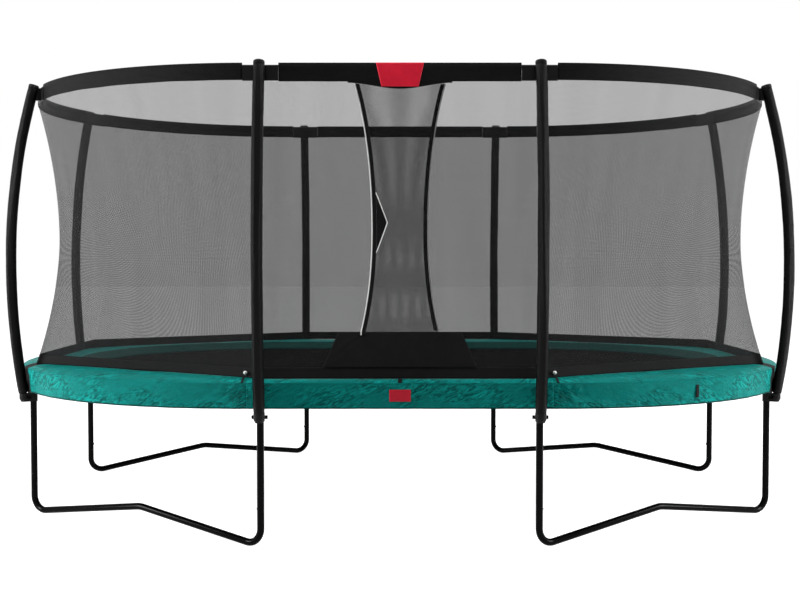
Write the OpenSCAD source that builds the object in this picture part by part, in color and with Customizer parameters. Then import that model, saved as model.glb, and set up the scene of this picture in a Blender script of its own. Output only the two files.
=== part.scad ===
// Oval garden trampoline with a safety net on bowed poles.
// Millimetres. +X runs along the long side, +Y to the back, +Z up.
// The origin is on the floor under the middle of the jumping mat.
// The plan is a stadium: two straight sides joined by two half circles.
// Pieces of one quarter are drawn at +X +Y and mirrored to the others.

/* [Plan] */
// Half the length of the straight part of each long side
straight_half = 875; // [840:5:1000]
// Radius of the rail's centre line at the round ends
rail_r = 1680; // [1650:5:1900]
// Height of the rail's centre line above the floor
rail_z = 912; // [850:1:1000]
// Distance of each side post from the middle of its long side
side_post_x = 800; // [780:5:830]
// Angle of each end post off the long axis
end_post_angle = 25; // [20:1:30]

/* [Frame tubes] */
// Outer diameter of the rail tube
rail_d = 42; // [38:1:46]
// Outer diameter of the leg tube
leg_d = 42; // [38:1:44]
// Wall of the rail and leg tubes
tube_wall = 2; // [1.5:0.1:3]
// Wall of the T-joints round the rail
tee_wall = 3.5; // [3:0.1:4]
// Wall of their stubs round the legs
stub_wall = 2.8; // [2:0.1:2.9]
// Length of a T-joint along the rail
tee_length = 140; // [110:5:145]
// Length of a T-joint's stub below the rail's centre line
tee_stub = 78; // [66:1:80]
// Radial clearance of a tube in the tube or joint round it
tube_clearance = 0.3; // [0.1:0.05:0.5]
// Gap between the ends of two tubes that meet in a joint
butt_gap = 1; // [0.5:0.1:3]

/* [Legs] */
// Height of the seam between a leg base and its uprights
seam_z = 200; // [180:5:260]
// Length of the reduced spigot that enters each upright
spigot_length = 80; // [40:5:120]
// Centre line radius of the bends at the feet
foot_bend_r = 90; // [70:1:110]
// Centre line height of the raised middle of the bottom bar
kink_z = 136; // [110:1:170]
// Centre line radius of the bend in that raised middle
kink_r = 200; // [150:10:260]
// Diameter of the head of a leg screw
leg_screw_head_d = 13; // [10:0.5:16]
// Distance of the leg screw above the seam
leg_screw_rise = 22; // [14:1:40]

/* [Net poles] */
// Radius of the bow of a pole
pole_bow_r = 4620; // [4200:20:5200]
// How far the widest point of a pole stands out from the rail's centre line
pole_bow_out = 132; // [125:1:150]
// Height of the widest point of a pole
pole_bow_z = 1590; // [1560:5:1620]
// Height of the middle of a pole's top end
pole_top_z = 2785; // [2770:1:2795]
// Height of the lower end of a pole
pole_bottom_z = 738; // [725:1:750]
// Outer diameter of the steel pole tube
pole_tube_d = 38; // [34:1:42]
// Wall of the steel pole tube
pole_tube_wall = 1.8; // [1.2:0.1:3]
// Outer diameter of the padded sleeve on a pole
pole_sleeve_d = 68; // [60:1:69]
// Height of the lower end of the padded sleeve
sleeve_bottom_z = 788; // [780:1:800]
// Length of the cap on a pole
pole_cap_length = 24; // [18:1:32]
// Radius of the rounding of a pole cap
pole_cap_round = 7; // [3:0.5:10]
// Diameter of the cord hole across a pole cap
pole_cap_hole_d = 9; // [6:0.5:10]

/* [Pole shoes] */
// Wall of a shoe round the leg and round the pole
shoe_wall = 5; // [4:0.5:6]
// Radius of a shoe round the pole tube
shoe_pole_r = 33; // [30:0.5:34]
// Height of a shoe's tapered lower end
shoe_chin_h = 20; // [12:1:22]
// Height of the bolt through a shoe
shoe_bolt_z = 757; // [750:1:766]
// Diameter of the shoe bolt
shoe_bolt_d = 8; // [6:1:10]
// Diameter of the round head of the shoe bolt
shoe_bolt_head_d = 22; // [16:1:24]
// Height of the shoe bolt's head and of its cap nut
shoe_bolt_head_h = 13; // [6:1:16]

/* [Top ring] */
// How far the ring lies inside the rail's centre line
ring_inset = 68; // [66:1:75]
// Height of the lower edge of the ring's sleeve
band_z = 2678; // [2660:1:2690]
// Height of the ring's sleeve from edge to edge
band_height = 102; // [98:1:106]
// Thickness of the ring's sleeve
band_thick = 16; // [15:0.5:17]
// Diameter of the glass-fibre rod
rod_d = 10; // [8:0.5:11]
// Distance of the rod's centre below the top edge of the sleeve
rod_drop = 20; // [19:1:24]
// Length of each bare stretch of the ring at a pole
cover_length = 206; // [180:2:230]
// How much lower than the sleeve the top of a bare stretch is
cover_step = 11; // [10:0.5:13]
// Thickness of the cover on a bare stretch
cover_thick = 14; // [13.5:0.5:15]
// Width of the bracket between a pole and the ring
bracket_width = 36; // [30:1:44]

/* [Safety net] */
// Thickness of the net sheets
net_thick = 2.4; // [1.5:0.1:3]
// How far the net's lower edge lies inside the rail's centre line at each pole
net_foot_inset = 22; // [15:1:60]
// How far the net draws in at its waist
net_waist_in = 134; // [100:1:150]
// Share of that drawing in that is lost midway between two poles on the bends
net_waist_ease = 0.4; // [0.2:0.05:0.5]
// Height of the hem band along the net's lower edge
hem_height = 60; // [50:1:70]
// Thickness of the hem band
hem_thick = 4; // [3:0.5:5]
// Gap between the pad's crown and the hem
hem_gap = 1; // [0.5:0.1:2]

/* [Door] */
// Distance of each door hinge line from the middle
door_hinge_x = 300; // [280:1:320]
// Half width of the overlap of the two door flaps at its waist
door_waist_half = 162; // [150:1:180]
// How much wider than at the waist that half width is at the top
door_flare = 92; // [70:1:100]
// Height of the upper edge of the threshold panel
threshold_z = 1240; // [1200:1:1280]
// Half width of the threshold panel at its upper edge
threshold_top_half = 338; // [325:1:360]
// Half width of the threshold panel at its lower edge
threshold_bottom_half = 425; // [400:1:450]
// How much further the door header hangs down in the middle than at its ends
header_drop = 34; // [28:1:36]
// How far the door header hangs below the ring's sleeve at its ends
header_side_drop = 10; // [4:1:14]
// Distance of each flap from the middle surface of the front net
flap_offset = 4; // [3.5:0.5:6]
// Width of the black strip along a flap's free edge
flap_strip_w = 23; // [18:1:28]
// Width of the pale piping along a flap's free edge
piping_w = 7; // [5:0.5:9]
// Clearance between the ends of a door flap and the cloth above and below it
flap_clearance = 2; // [1.5:0.1:3]
// Gap between two cloths that are sewn together or lie on each other
layer_gap = 0.3; // [0.25:0.05:0.4]
// Height of the middle of the pull tab
tab_z = 1870; // [1800:5:1950]
// Height of the pull tab from corner to corner
tab_height = 350; // [300:5:400]
// Width of the pull tab from the strip to its tip
tab_width = 62; // [50:1:75]

/* [Padding] */
// How far the pad stands out past the rail's centre line
pad_overhang = 45; // [43:1:48]
// Width of the pad from its outer to its inner edge
pad_width = 435; // [400:5:475]
// Height of the pad's edges above its underside
pad_edge = 16; // [12:0.5:18]
// Height of the pad's crown above its edges
pad_crown = 21; // [15:1:24]
// Height of the lower edge of the skirt above the floor
skirt_z = 809; // [803:1:830]
// Thickness of the skirt
skirt_thick = 7; // [5:0.5:7.5]
// How far the skirt leans in from top to bottom
skirt_lean = 16; // [15:0.5:17]
// Gap between two pad sections
pad_gap = 2; // [1:0.5:4]

/* [Jumping mat] */
// Distance from the rail's centre line to the mat's edge
mat_inset = 275; // [260:1:300]
// Thickness of the mat
mat_thick = 3; // [2:0.5:6]
// Height of the mat's upper face above the rail's centre line
mat_rise = -1; // [-4:0.5:1]
// Width of the sewn hem round the mat
mat_hem_w = 60; // [40:1:70]
// Thickness of the sewn hem folded under the mat
mat_hem_h = 4; // [2:0.5:6]
// Diameter of the wire of the V-rings
vring_wire = 5; // [4:0.5:5.5]
// Width of a V-ring along the mat's edge
vring_width = 44; // [36:1:54]
// Length of a V-ring away from the mat's edge
vring_length = 26; // [22:1:30]

/* [Springs] */
// Number of springs along each straight side
springs_side = 12; // [8:1:12]
// Distance between two springs on a straight side
spring_pitch = 124; // [100:1:125]
// Number of springs on each bend between a side post and an end post
springs_corner = 13; // [8:1:14]
// Number of springs on each round end between its two end posts
springs_end = 10; // [6:1:10]
// Outer diameter of a spring's coil
spring_d = 26; // [20:1:27]
// Diameter of the spring wire
spring_wire = 4; // [3:0.5:4.5]
// Length of the coil without its hooks
spring_coil = 172; // [150:2:190]

/* [Ties and labels] */
// Diameter of the ball on a net tie
tie_ball_d = 22; // [18:1:26]
// Distance of a net tie from its pole, along the net
tie_side = 103; // [70:1:120]
// Width of a tie's strap
tie_strap_w = 12; // [9:1:16]
// Width of the strap from the hem to the pad's edge midway along each side
hem_strap_w = 24; // [12:1:30]
// Width of the plain red label at its upper edge
door_label_top_w = 276; // [240:2:300]
// Width of the plain red label at its lower edge
door_label_bottom_w = 214; // [190:2:230]
// Height of the plain red label
door_label_h = 136; // [120:1:137]
// Width of the plain patch on the skirt
skirt_patch_w = 122; // [100:1:140]
// Height of the plain patch on the skirt
skirt_patch_h = 69; // [60:1:80]
// Bearing of the small tag on the skirt, off the long axis
size_tag_angle = 59.3; // [45:0.1:70]
// Width of the small tag
size_tag_w = 24; // [18:1:30]
// Height of the small tag
size_tag_h = 76; // [60:1:84]

/* [Hidden] */

black = [0.05, 0.05, 0.055];
net_black = [0.10, 0.10, 0.11];
teal = [0.00, 0.42, 0.37];
zinc = [0.62, 0.64, 0.66];
white = [0.92, 0.92, 0.90];
red = [0.78, 0.06, 0.10];
glass_fibre = [0.80, 0.78, 0.68];

eps = 0.01;
seat_gap = 0.3;
ring_r = rail_r - ring_inset;
net_bottom_r = rail_r - net_foot_inset;
pad_outer_r = rail_r + pad_overhang;
pad_inner_r = pad_outer_r - pad_width;
mat_r = rail_r - mat_inset;
fine = 96;
arc_fn = 360;
left = -1;
right = 1;
front = -1;
back = 1;

// ---- plan ---------------------------------------------------------------

// Each post: centre of its radius on the long axis, and its bearing.
POSTS = [
    [straight_half, end_post_angle],
    [side_post_x, 90],
    [-side_post_x, 90],
    [-straight_half, 180 - end_post_angle],
    [-straight_half, 180 + end_post_angle],
    [-side_post_x, 270],
    [side_post_x, 270],
    [straight_half, -end_post_angle]
];
SIDE_POSTS = [1, 2, 5, 6];
END_POSTS = [0, 3, 4, 7];

// Angle, in degrees, that a length covers on a circle
function arc_deg(length, r) = length / r * 180 / PI;

// Places its children at each listed post, with local +X pointing outwards.
module at_posts(which = [0, 1, 2, 3, 4, 5, 6, 7]) {
    for (k = which) {
        translate([POSTS[k][0], 0, 0]) rotate([0, 0, POSTS[k][1]]) children();
    }
}

// Turns a piece drawn at +X +Y into the one of another quarter.
module quarter(side, depth) {
    mirror([side < 0 ? 1 : 0, 0, 0]) mirror([0, depth < 0 ? 1 : 0, 0]) children();
}

// Sweeps a profile, drawn with X as radius and Y as height, round one end.
module end_sweep(from, to) {
    translate([straight_half, 0, 0]) rotate([0, 0, from])
        rotate_extrude(angle = to - from, $fn = arc_fn) children();
}

// Sweeps the same profile straight along +X from one x to another at +Y.
module side_sweep(from, to) {
    translate([from, 0, 0]) rotate([90, 0, 90]) linear_extrude(height = to - from) children();
}

module tube_profile(r, z, d, wall) {
    translate([r, z]) difference() {
        circle(d = d, $fn = fine);
        circle(d = d - 2 * wall, $fn = fine);
    }
}

module disc_profile(r, z, d) {
    translate([r, z]) circle(d = d, $fn = fine);
}

// ---- rail ---------------------------------------------------------------

module rail_profile() tube_profile(rail_r, rail_z, rail_d, tube_wall);

butt_deg = arc_deg(butt_gap / 2, rail_r);
bead = 0.1;
bead_half = 0.5;

module rail_side() {
    color(zinc)
    side_sweep(-side_post_x + butt_gap / 2, side_post_x - butt_gap / 2) rail_profile();
}

// A bend and a short straight, with a fine bead round the bend's start.
module rail_corner() {
    color(zinc) union() {
        side_sweep(side_post_x + butt_gap / 2, straight_half) rail_profile();
        end_sweep(end_post_angle + butt_deg, 90) rail_profile();
        side_sweep(straight_half - bead_half, straight_half + bead_half)
            tube_profile(rail_r, rail_z, rail_d + 2 * bead, tube_wall + 2 * bead);
    }
}

module rail_end() {
    color(zinc)
    end_sweep(-end_post_angle + butt_deg, end_post_angle - butt_deg) rail_profile();
}

tee_d = rail_d + 2 * (tube_clearance + tee_wall);
stub_d = leg_d + 2 * (tube_clearance + stub_wall);
leg_top_z = rail_z - rail_d / 2 - tube_clearance - butt_gap;

stub_bore_top_z = rail_z - rail_d * 0.3;

// Cuts the leg's bore from a T-joint drawn at a post.
module tee_leg_bore() {
    difference() {
        children();
        translate([rail_r, 0, rail_z - tee_stub - 1])
            cylinder(d = leg_d + 2 * tube_clearance,
                     h = stub_bore_top_z - rail_z + tee_stub + 1, $fn = fine);
    }
}

module tee_stub_body() {
    translate([rail_r, 0, rail_z - tee_stub]) cylinder(d = stub_d, h = tee_stub, $fn = fine);
}

// A T-joint: a sleeve round the rail with a stub that takes a leg.
module rail_tees() {
    color(zinc) {
        at_posts(SIDE_POSTS) tee_leg_bore() difference() {
            union() {
                translate([rail_r, -tee_length / 2, rail_z]) rotate([-90, 0, 0])
                    cylinder(d = tee_d, h = tee_length, $fn = fine);
                tee_stub_body();
            }
            translate([rail_r, -tee_length, rail_z]) rotate([-90, 0, 0])
                cylinder(d = rail_d + 2 * tube_clearance, h = 2 * tee_length, $fn = fine);
        }
        at_posts(END_POSTS) tee_leg_bore() difference() {
            union() {
                rotate([0, 0, -arc_deg(tee_length / 2, rail_r)])
                    rotate_extrude(angle = arc_deg(tee_length, rail_r), $fn = arc_fn)
                        disc_profile(rail_r, rail_z, tee_d);
                tee_stub_body();
            }
            rotate([0, 0, -arc_deg(tee_length, rail_r)])
                rotate_extrude(angle = arc_deg(2 * tee_length, rail_r), $fn = arc_fn)
                    disc_profile(rail_r, rail_z, rail_d + 2 * tube_clearance);
        }
    }
}

// ---- legs ---------------------------------------------------------------

// The two posts of the +X +Y quarter, joined by one leg.
end_post = [straight_half + rail_r * cos(end_post_angle), rail_r * sin(end_post_angle)];
side_post = [side_post_x, rail_r];
leg_mid = (end_post + side_post) / 2;
leg_run = side_post - end_post;
leg_half = norm(leg_run) / 2;
leg_bearing = atan2(leg_run[1], leg_run[0]);

// The bottom bar is tangent to the foot's bend below and the kink's above.
foot_centre_z = leg_d / 2 + foot_bend_r;
kink_centre_z = kink_z - kink_r;
bar_run = leg_half - foot_bend_r;
bar_drop = kink_centre_z - foot_centre_z;
bar_slope = atan2(bar_drop, bar_run) + asin((foot_bend_r + kink_r) / norm([bar_run, bar_drop]));
bar_x1 = -leg_half + foot_bend_r + foot_bend_r * sin(bar_slope);
bar_z1 = foot_centre_z - foot_bend_r * cos(bar_slope);
bar_x2 = -kink_r * sin(bar_slope);
bar_z2 = kink_centre_z + kink_r * cos(bar_slope);
bar_length = norm([bar_x2 - bar_x1, bar_z2 - bar_z1]);
spigot_d = leg_d - 2 * tube_wall - 2 * tube_clearance;
neck_length = 6;

module leg_frame() {
    translate([leg_mid[0], leg_mid[1], 0]) rotate([0, 0, leg_bearing]) children();
}

module leg_tube(length) {
    difference() {
        cylinder(d = leg_d, h = length, $fn = fine);
        translate([0, 0, -1]) cylinder(d = leg_d - 2 * tube_wall, h = length + 2, $fn = fine);
    }
}

// A fine bead round the leg tube where a bend starts.
module leg_bead() {
    translate([0, 0, -bead_half]) difference() {
        cylinder(d = leg_d + 2 * bead, h = 2 * bead_half, $fn = fine);
        translate([0, 0, -1])
            cylinder(d = leg_d - 2 * tube_wall - 2 * bead, h = 2 * bead_half + 2, $fn = fine);
    }
}

// A bend in the leg's plane, from one angle to another round its centre.
module leg_bend(x, z, r, from, to) {
    translate([x, 0, z]) rotate([90, 0, 0]) rotate([0, 0, from])
        rotate_extrude(angle = to - from, $fn = fine * 2)
            tube_profile(r, 0, leg_d, tube_wall);
}

// The reduced end of a leg base, with the step where the tube narrows.
module leg_spigot() {
    difference() {
        union() {
            translate([0, 0, -neck_length]) cylinder(d = leg_d - tube_wall, h = neck_length, $fn = fine);
            cylinder(d = spigot_d, h = spigot_length, $fn = fine);
        }
        translate([0, 0, -neck_length - 1])
            cylinder(d = spigot_d - 2 * tube_wall, h = neck_length + spigot_length + 2, $fn = fine);
    }
}

module leg_half_base() {
    translate([-leg_half, 0, foot_centre_z]) {
        leg_tube(seam_z - butt_gap - foot_centre_z);
        leg_bead();
    }
    translate([-leg_half, 0, seam_z - butt_gap]) leg_spigot();
    leg_bend(-leg_half + foot_bend_r, foot_centre_z, foot_bend_r, 180, 270 + bar_slope);
    translate([bar_x1, 0, bar_z1]) rotate([0, 90 - bar_slope, 0]) {
        leg_tube(bar_length);
        leg_bead();
        translate([0, 0, bar_length]) leg_bead();
    }
}

// One W-shaped leg base with its raised middle.
module leg_base() {
    color(black) leg_frame() {
        leg_half_base();
        mirror([1, 0, 0]) leg_half_base();
        leg_bend(0, kink_centre_z, kink_r, 90 - bar_slope, 90 + bar_slope);
    }
}

module leg_uprights() {
    color(black) at_posts() translate([rail_r, 0, seam_z]) leg_tube(leg_top_z - seam_z);
}

// Screws on the inner side of each leg, facing its other post.
module leg_screws() {
    color(black)
    for (side = [left, right], depth = [front, back], end = [0, 1])
        quarter(side, depth) leg_frame() mirror([end, 0, 0])
            translate([-leg_half, 0, seam_z + leg_screw_rise]) difference() {
                translate([leg_d / 2 - 1, 0, 0]) rotate([0, 90, 0])
                    cylinder(d = leg_screw_head_d, h = leg_screw_head_d / 3 + 1, $fn = fine);
                translate([0, 0, -leg_screw_head_d])
                    cylinder(d = leg_d + 2 * bead, h = 2 * leg_screw_head_d, $fn = fine);
            }
}

// ---- net poles ----------------------------------------------------------

pole_vertex_r = rail_r + pole_bow_out;
function pole_deg(z) = asin((z - pole_bow_z) / pole_bow_r);
function pole_r(z) = pole_vertex_r - pole_bow_r * (1 - cos(pole_deg(z)));
pole_top_deg = pole_deg(pole_top_z);
cap_deg = arc_deg(pole_cap_length, pole_bow_r);

// Sweeps a profile centred on the pole's axis between two pole angles.
module pole_sweep(from, to) {
    translate([pole_vertex_r - pole_bow_r, 0, pole_bow_z]) rotate([90, 0, 0])
        rotate([0, 0, from]) rotate_extrude(angle = to - from, $fn = arc_fn)
            translate([pole_bow_r, 0]) children();
}

module pole_rod(from, to, d) pole_sweep(from, to) circle(d = d, $fn = fine);

module pole_tubes() {
    color(black) at_posts()
        pole_sweep(pole_deg(pole_bottom_z), pole_top_deg - cap_deg)
            tube_profile(0, 0, pole_tube_d, pole_tube_wall);
}

module pole_sleeves() {
    color(black) at_posts()
        pole_sweep(pole_deg(sleeve_bottom_z), pole_top_deg - cap_deg)
            tube_profile(0, 0, pole_sleeve_d, (pole_sleeve_d - pole_tube_d) / 2 - tube_clearance);
}

// A rounded cap with a cord hole, square on the leaning end of a pole.
module pole_caps() {
    cap_r = pole_sleeve_d / 2 - 1;
    cap_h = pole_cap_length - seat_gap;
    color(black) at_posts()
        translate([pole_r(pole_top_z), 0, pole_top_z]) rotate([0, -pole_top_deg, 0])
            translate([0, 0, -cap_h]) difference() {
                rotate_extrude($fn = fine) union() {
                    square([cap_r, cap_h - pole_cap_round]);
                    square([cap_r - pole_cap_round, cap_h]);
                    translate([cap_r - pole_cap_round, cap_h - pole_cap_round])
                        intersection() {
                            circle(r = pole_cap_round, $fn = fine);
                            square(pole_cap_round);
                        }
                }
                translate([0, cap_r + 1, pole_cap_length / 2]) rotate([90, 0, 0])
                    cylinder(d = pole_cap_hole_d, h = 2 * cap_r + 2, $fn = fine);
            }
}

shoe_top_z = sleeve_bottom_z + pole_sleeve_d / 2 * sin(pole_deg(sleeve_bottom_z)) - seat_gap;
shoe_leg_r = leg_d / 2 + shoe_wall;

// Outline of a shoe round a leg and the foot of its pole.
module shoe_outline() {
    translate([rail_r, 0]) circle(r = shoe_leg_r, $fn = fine);
    translate([rail_r, -shoe_leg_r]) square([pole_r(shoe_bolt_z) - rail_r, 2 * shoe_leg_r]);
    translate([pole_r(shoe_bolt_z), 0]) circle(r = shoe_pole_r, $fn = fine);
}

// A shoe clamps the foot of each pole to its leg, with a tapered lower end.
module pole_shoes() {
    bottom_z = pole_bottom_z - shoe_chin_h / 2;
    chin_top_z = bottom_z + shoe_chin_h;
    foot_r = pole_r(shoe_bolt_z);
    color(black) at_posts() difference() {
        union() {
            translate([0, 0, chin_top_z]) linear_extrude(height = shoe_top_z - chin_top_z)
                shoe_outline();
            translate([rail_r, 0, bottom_z]) cylinder(r = shoe_leg_r, h = shoe_chin_h, $fn = fine);
            translate([rail_r, -leg_d / 2, bottom_z]) cube([foot_r - rail_r, leg_d, shoe_chin_h]);
            translate([foot_r, 0, bottom_z])
                cylinder(r1 = shoe_pole_r - shoe_chin_h / 2, r2 = shoe_pole_r, h = shoe_chin_h, $fn = fine);
            shoe_bolt_rod(shoe_bolt_head_d, shoe_pole_r);
        }
        translate([rail_r, 0, bottom_z - 1])
            cylinder(d = leg_d + 2 * tube_clearance, h = shoe_top_z - bottom_z + 2, $fn = fine);
        pole_rod(pole_deg(pole_bottom_z - eps), pole_deg(shoe_top_z + pole_tube_d),
                 pole_tube_d + 2 * tube_clearance);
        shoe_bolt_rod(shoe_bolt_d + 2 * tube_clearance, 2 * shoe_pole_r);
    }
}

shoe_bolt_r = (rail_r + leg_d / 2 + pole_r(shoe_bolt_z) - pole_tube_d / 2) / 2;

// A rod on the bolt's axis that ends at equal distances on both sides.
module shoe_bolt_rod(d, reach) {
    translate([shoe_bolt_r, -reach, shoe_bolt_z]) rotate([-90, 0, 0])
        cylinder(d = d, h = 2 * reach, $fn = fine);
}

module pole_shoe_bolts() {
    reach = shoe_pole_r;
    color(black) at_posts() translate([shoe_bolt_r, 0, shoe_bolt_z]) rotate([-90, 0, 0]) {
        translate([0, 0, -reach - shoe_bolt_head_h])
            cylinder(d = shoe_bolt_head_d, h = shoe_bolt_head_h, $fn = fine);
        translate([0, 0, -reach - eps])
            cylinder(d = shoe_bolt_d, h = 2 * reach + 2 * eps, $fn = fine);
        translate([0, 0, reach])
            cylinder(d = shoe_bolt_head_d, h = shoe_bolt_head_h, $fn = fine);
    }
}

// ---- top ring -----------------------------------------------------------

band_top_z = band_z + band_height;
rod_z = band_top_z - rod_drop;
cover_top_z = band_top_z - cover_step;
rod_hole_d = rod_d + 1;

// A flat sleeve, round along both edges, with a tunnel for the rod.
module sleeve_profile(z, height, thick) {
    difference() {
        translate([ring_r - thick / 2, z + thick / 2]) union() {
            square([thick, height - thick]);
            translate([thick / 2, 0]) circle(d = thick, $fn = fine);
            translate([thick / 2, height - thick]) circle(d = thick, $fn = fine);
        }
        translate([ring_r, rod_z]) circle(d = rod_hole_d, $fn = fine);
    }
}

module band_profile() sleeve_profile(band_z, band_height, band_thick);
module cover_profile() sleeve_profile(band_z, cover_top_z - band_z, cover_thick);

cover_half = cover_length / 2;
cover_deg = arc_deg(cover_half, ring_r);
cover_past_bend = side_post_x + cover_half - straight_half;
band_from_deg = end_post_angle + cover_deg + arc_deg(butt_gap, ring_r);
band_to_deg = 90 - arc_deg(cover_past_bend + butt_gap, ring_r);

module ring_sleeve_side() {
    reach = side_post_x - cover_half - butt_gap;
    color(black) side_sweep(-reach, reach) band_profile();
}

// The three sleeves of one end: two on its corners and one between its poles.
module ring_sleeve_end() {
    color(black) {
        for (depth = [front, back]) quarter(right, depth)
            end_sweep(band_from_deg, band_to_deg) band_profile();
        end_sweep(-end_post_angle + cover_deg + arc_deg(butt_gap, ring_r),
                  end_post_angle - cover_deg - arc_deg(butt_gap, ring_r)) band_profile();
    }
}

module ring_covers() {
    color(black) {
        for (side = [left, right], depth = [front, back]) quarter(side, depth) {
            side_sweep(side_post_x - cover_half, side_post_x + cover_half) cover_profile();
            end_sweep(end_post_angle - cover_deg, end_post_angle + cover_deg) cover_profile();
        }
    }
}

module ring_rods() {
    rod_butt_deg = arc_deg(butt_gap / 2, ring_r);
    color(glass_fibre) {
        for (depth = [front, back]) quarter(right, depth)
            side_sweep(-straight_half + butt_gap / 2, straight_half - butt_gap / 2)
                disc_profile(ring_r, rod_z, rod_d);
        for (side = [left, right], depth = [front, back]) quarter(side, depth)
            end_sweep(end_post_angle + rod_butt_deg, 90 - rod_butt_deg)
                disc_profile(ring_r, rod_z, rod_d);
        for (side = [left, right]) quarter(side, back)
            end_sweep(-end_post_angle + rod_butt_deg, end_post_angle - rod_butt_deg)
                disc_profile(ring_r, rod_z, rod_d);
    }
}

// A wedge that fills the space between the ring and a pole's inner face.
module ring_brackets() {
    seat_r = ring_r + cover_thick / 2 + tube_clearance;
    low_z = band_z + 8;
    color(black) at_posts() difference() {
        translate([seat_r, -bracket_width / 2, low_z])
            cube([pole_r(low_z) - seat_r, bracket_width, cover_top_z - low_z - 4]);
        pole_rod(pole_deg(low_z - 60), pole_top_deg, pole_sleeve_d + 2 * tube_clearance);
    }
}

// ---- safety net ---------------------------------------------------------

pad_bottom_z = rail_z + tee_d / 2 + seat_gap;
pad_edge_z = pad_bottom_z + pad_edge;
pad_top_z = pad_edge_z + pad_crown;
hem_z = pad_top_z + hem_gap;
net_low_z = hem_z + hem_height + 0.3;
net_high_z = band_z - 0.3;
net_rows = 12;
net_cols = 8;
pad_half = (pad_outer_r - pad_inner_r) / 2;
crown_r = (pad_half * pad_half + pad_crown * pad_crown) / (2 * pad_crown);
// Height of the pad's upper face at a radius
function crown_z(r) = pad_top_z - crown_r + sqrt(pow(crown_r, 2) - pow(r - pad_inner_r - pad_half, 2));

// Share of the way up the net, from its lower edge to the ring
function net_share(z) = (z - hem_z) / (band_z - hem_z);
function waist(z) = net_waist_in * (1 - pow(2 * net_share(z) - 1, 2));
// Radius of the net above a straight side, and in line with each pole
function net_r(z) = net_bottom_r + (ring_r - net_bottom_r) * net_share(z) - waist(z);
// Height at which the hem stands on the pad's crown along the straight sides
hem_foot_z = crown_z(net_bottom_r - hem_thick / 2) + seat_gap;

// Joins two grids of points, rows by columns, into a closed thin sheet.
module sheet(faces_out, faces_in) {
    rows = len(faces_out);
    cols = len(faces_out[0]);
    n = rows * cols;
    points = [for (g = [faces_out, faces_in], row = g, p = row) p];
    function id(i, j) = i * cols + j;
    outer = [for (i = [0:rows - 2], j = [0:cols - 2])
        each [[id(i, j), id(i + 1, j), id(i + 1, j + 1)], [id(i, j), id(i + 1, j + 1), id(i, j + 1)]]];
    inner = [for (f = outer) [f[2] + n, f[1] + n, f[0] + n]];
    rim = concat([for (j = [0:cols - 1]) id(0, j)],
                 [for (i = [1:rows - 1]) id(i, cols - 1)],
                 [for (j = [cols - 2:-1:0]) id(rows - 1, j)],
                 [for (i = [rows - 2:-1:1]) id(i, 0)]);
    edge = [for (k = [0:len(rim) - 1])
        let (a = rim[k], b = rim[(k + 1) % len(rim)])
        each [[a, b, b + n], [a, b + n, a + n]]];
    polyhedron(points = points, faces = concat(outer, inner, edge), convexity = 6);
}

function row_z(low, high, rows) = [for (i = [0:rows]) low + (high - low) * i / rows];
NET_Z = row_z(net_low_z, net_high_z, net_rows);
HEM_Z = row_z(hem_z, hem_z + hem_height, 1);

// A sheet on the front net's surface, from the x and the height of every
// point, row by row. The offset is measured inwards.
module front_sheet(xs, zs, offset, thick) {
    grid = [for (d = [offset - thick / 2, offset + thick / 2])
        [for (i = [0:len(xs) - 1]) [for (j = [0:len(xs[i]) - 1])
            [xs[i][j], -net_r(zs[i][j]) + d, zs[i][j]]]]];
    sheet(grid[0], grid[1]);
}

// A sheet with level rows whose two side edges are functions of the height.
module level_sheet(z, edges, offset, thick) {
    front_sheet(edges, [for (h = z) [h, h]], offset, thick);
}

module net_straight(from, to, offset) {
    z = row_z(net_low_z, net_high_z, 2 * net_rows);
    level_sheet(z, [for (h = z) [from, to]], offset, net_thick);
}

pole_gap = 0.3;

module net_back() {
    color(net_black) mirror([0, 1, 0])
        net_straight(-side_post_x + pole_gap, side_post_x - pole_gap, 0);
}

module net_front_left() {
    color(net_black) net_straight(-side_post_x + pole_gap, -door_hinge_x - layer_gap, flap_offset);
}

module net_front_right() {
    color(net_black) net_straight(door_hinge_x + layer_gap, side_post_x - pole_gap, -flap_offset);
}

// A sheet on a bend of the net. It hangs from the ring's curve and ends on
// the straight chord between the feet of its two poles.
module bend_sheet(z, thick, top, bearing, chord_a, chord_b) {
    function point(h, j, d) =
        let (u = j / net_cols,
             low = chord_a + (chord_b - chord_a) * u,
             ease = 1 - net_waist_ease * sin(180 * u),
             base = low + (top[j] - low) * net_share(h),
             out = d - waist(h) * ease)
        [base[0] + out * cos(bearing[j]), base[1] + out * sin(bearing[j]), h];
    grid = [for (d = [thick / 2, -thick / 2])
        [for (h = z) [for (j = [0:net_cols]) point(h, j, d)]]];
    sheet(grid[0], grid[1]);
}

// Point and bearing on the ring's curve of the +X +Y quarter, by the share
// of the way from the end post to the side post.
corner_arc = ring_r * (90 - end_post_angle) * PI / 180;
corner_path = corner_arc + straight_half - side_post_x;
function corner_bearing(u) =
    min(90, end_post_angle + (90 - end_post_angle) * u * corner_path / corner_arc);
function corner_point(u) =
    let (past = max(0, u * corner_path - corner_arc), a = corner_bearing(u))
    [straight_half + ring_r * cos(a) - past, ring_r * sin(a)];
function foot_point(angle, x, r) = [x + r * cos(angle), r * sin(angle)];

gap_u = pole_gap / corner_path;
function inset_u(j) = gap_u + (1 - 2 * gap_u) * j / net_cols;

module corner_sheet(z, thick) {
    a = foot_point(end_post_angle, straight_half, net_bottom_r);
    b = foot_point(90, side_post_x, net_bottom_r);
    bend_sheet(z, thick, [for (j = [0:net_cols]) corner_point(inset_u(j))],
               [for (j = [0:net_cols]) corner_bearing(inset_u(j))],
               a + (b - a) * gap_u, b - (b - a) * gap_u);
}

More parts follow.
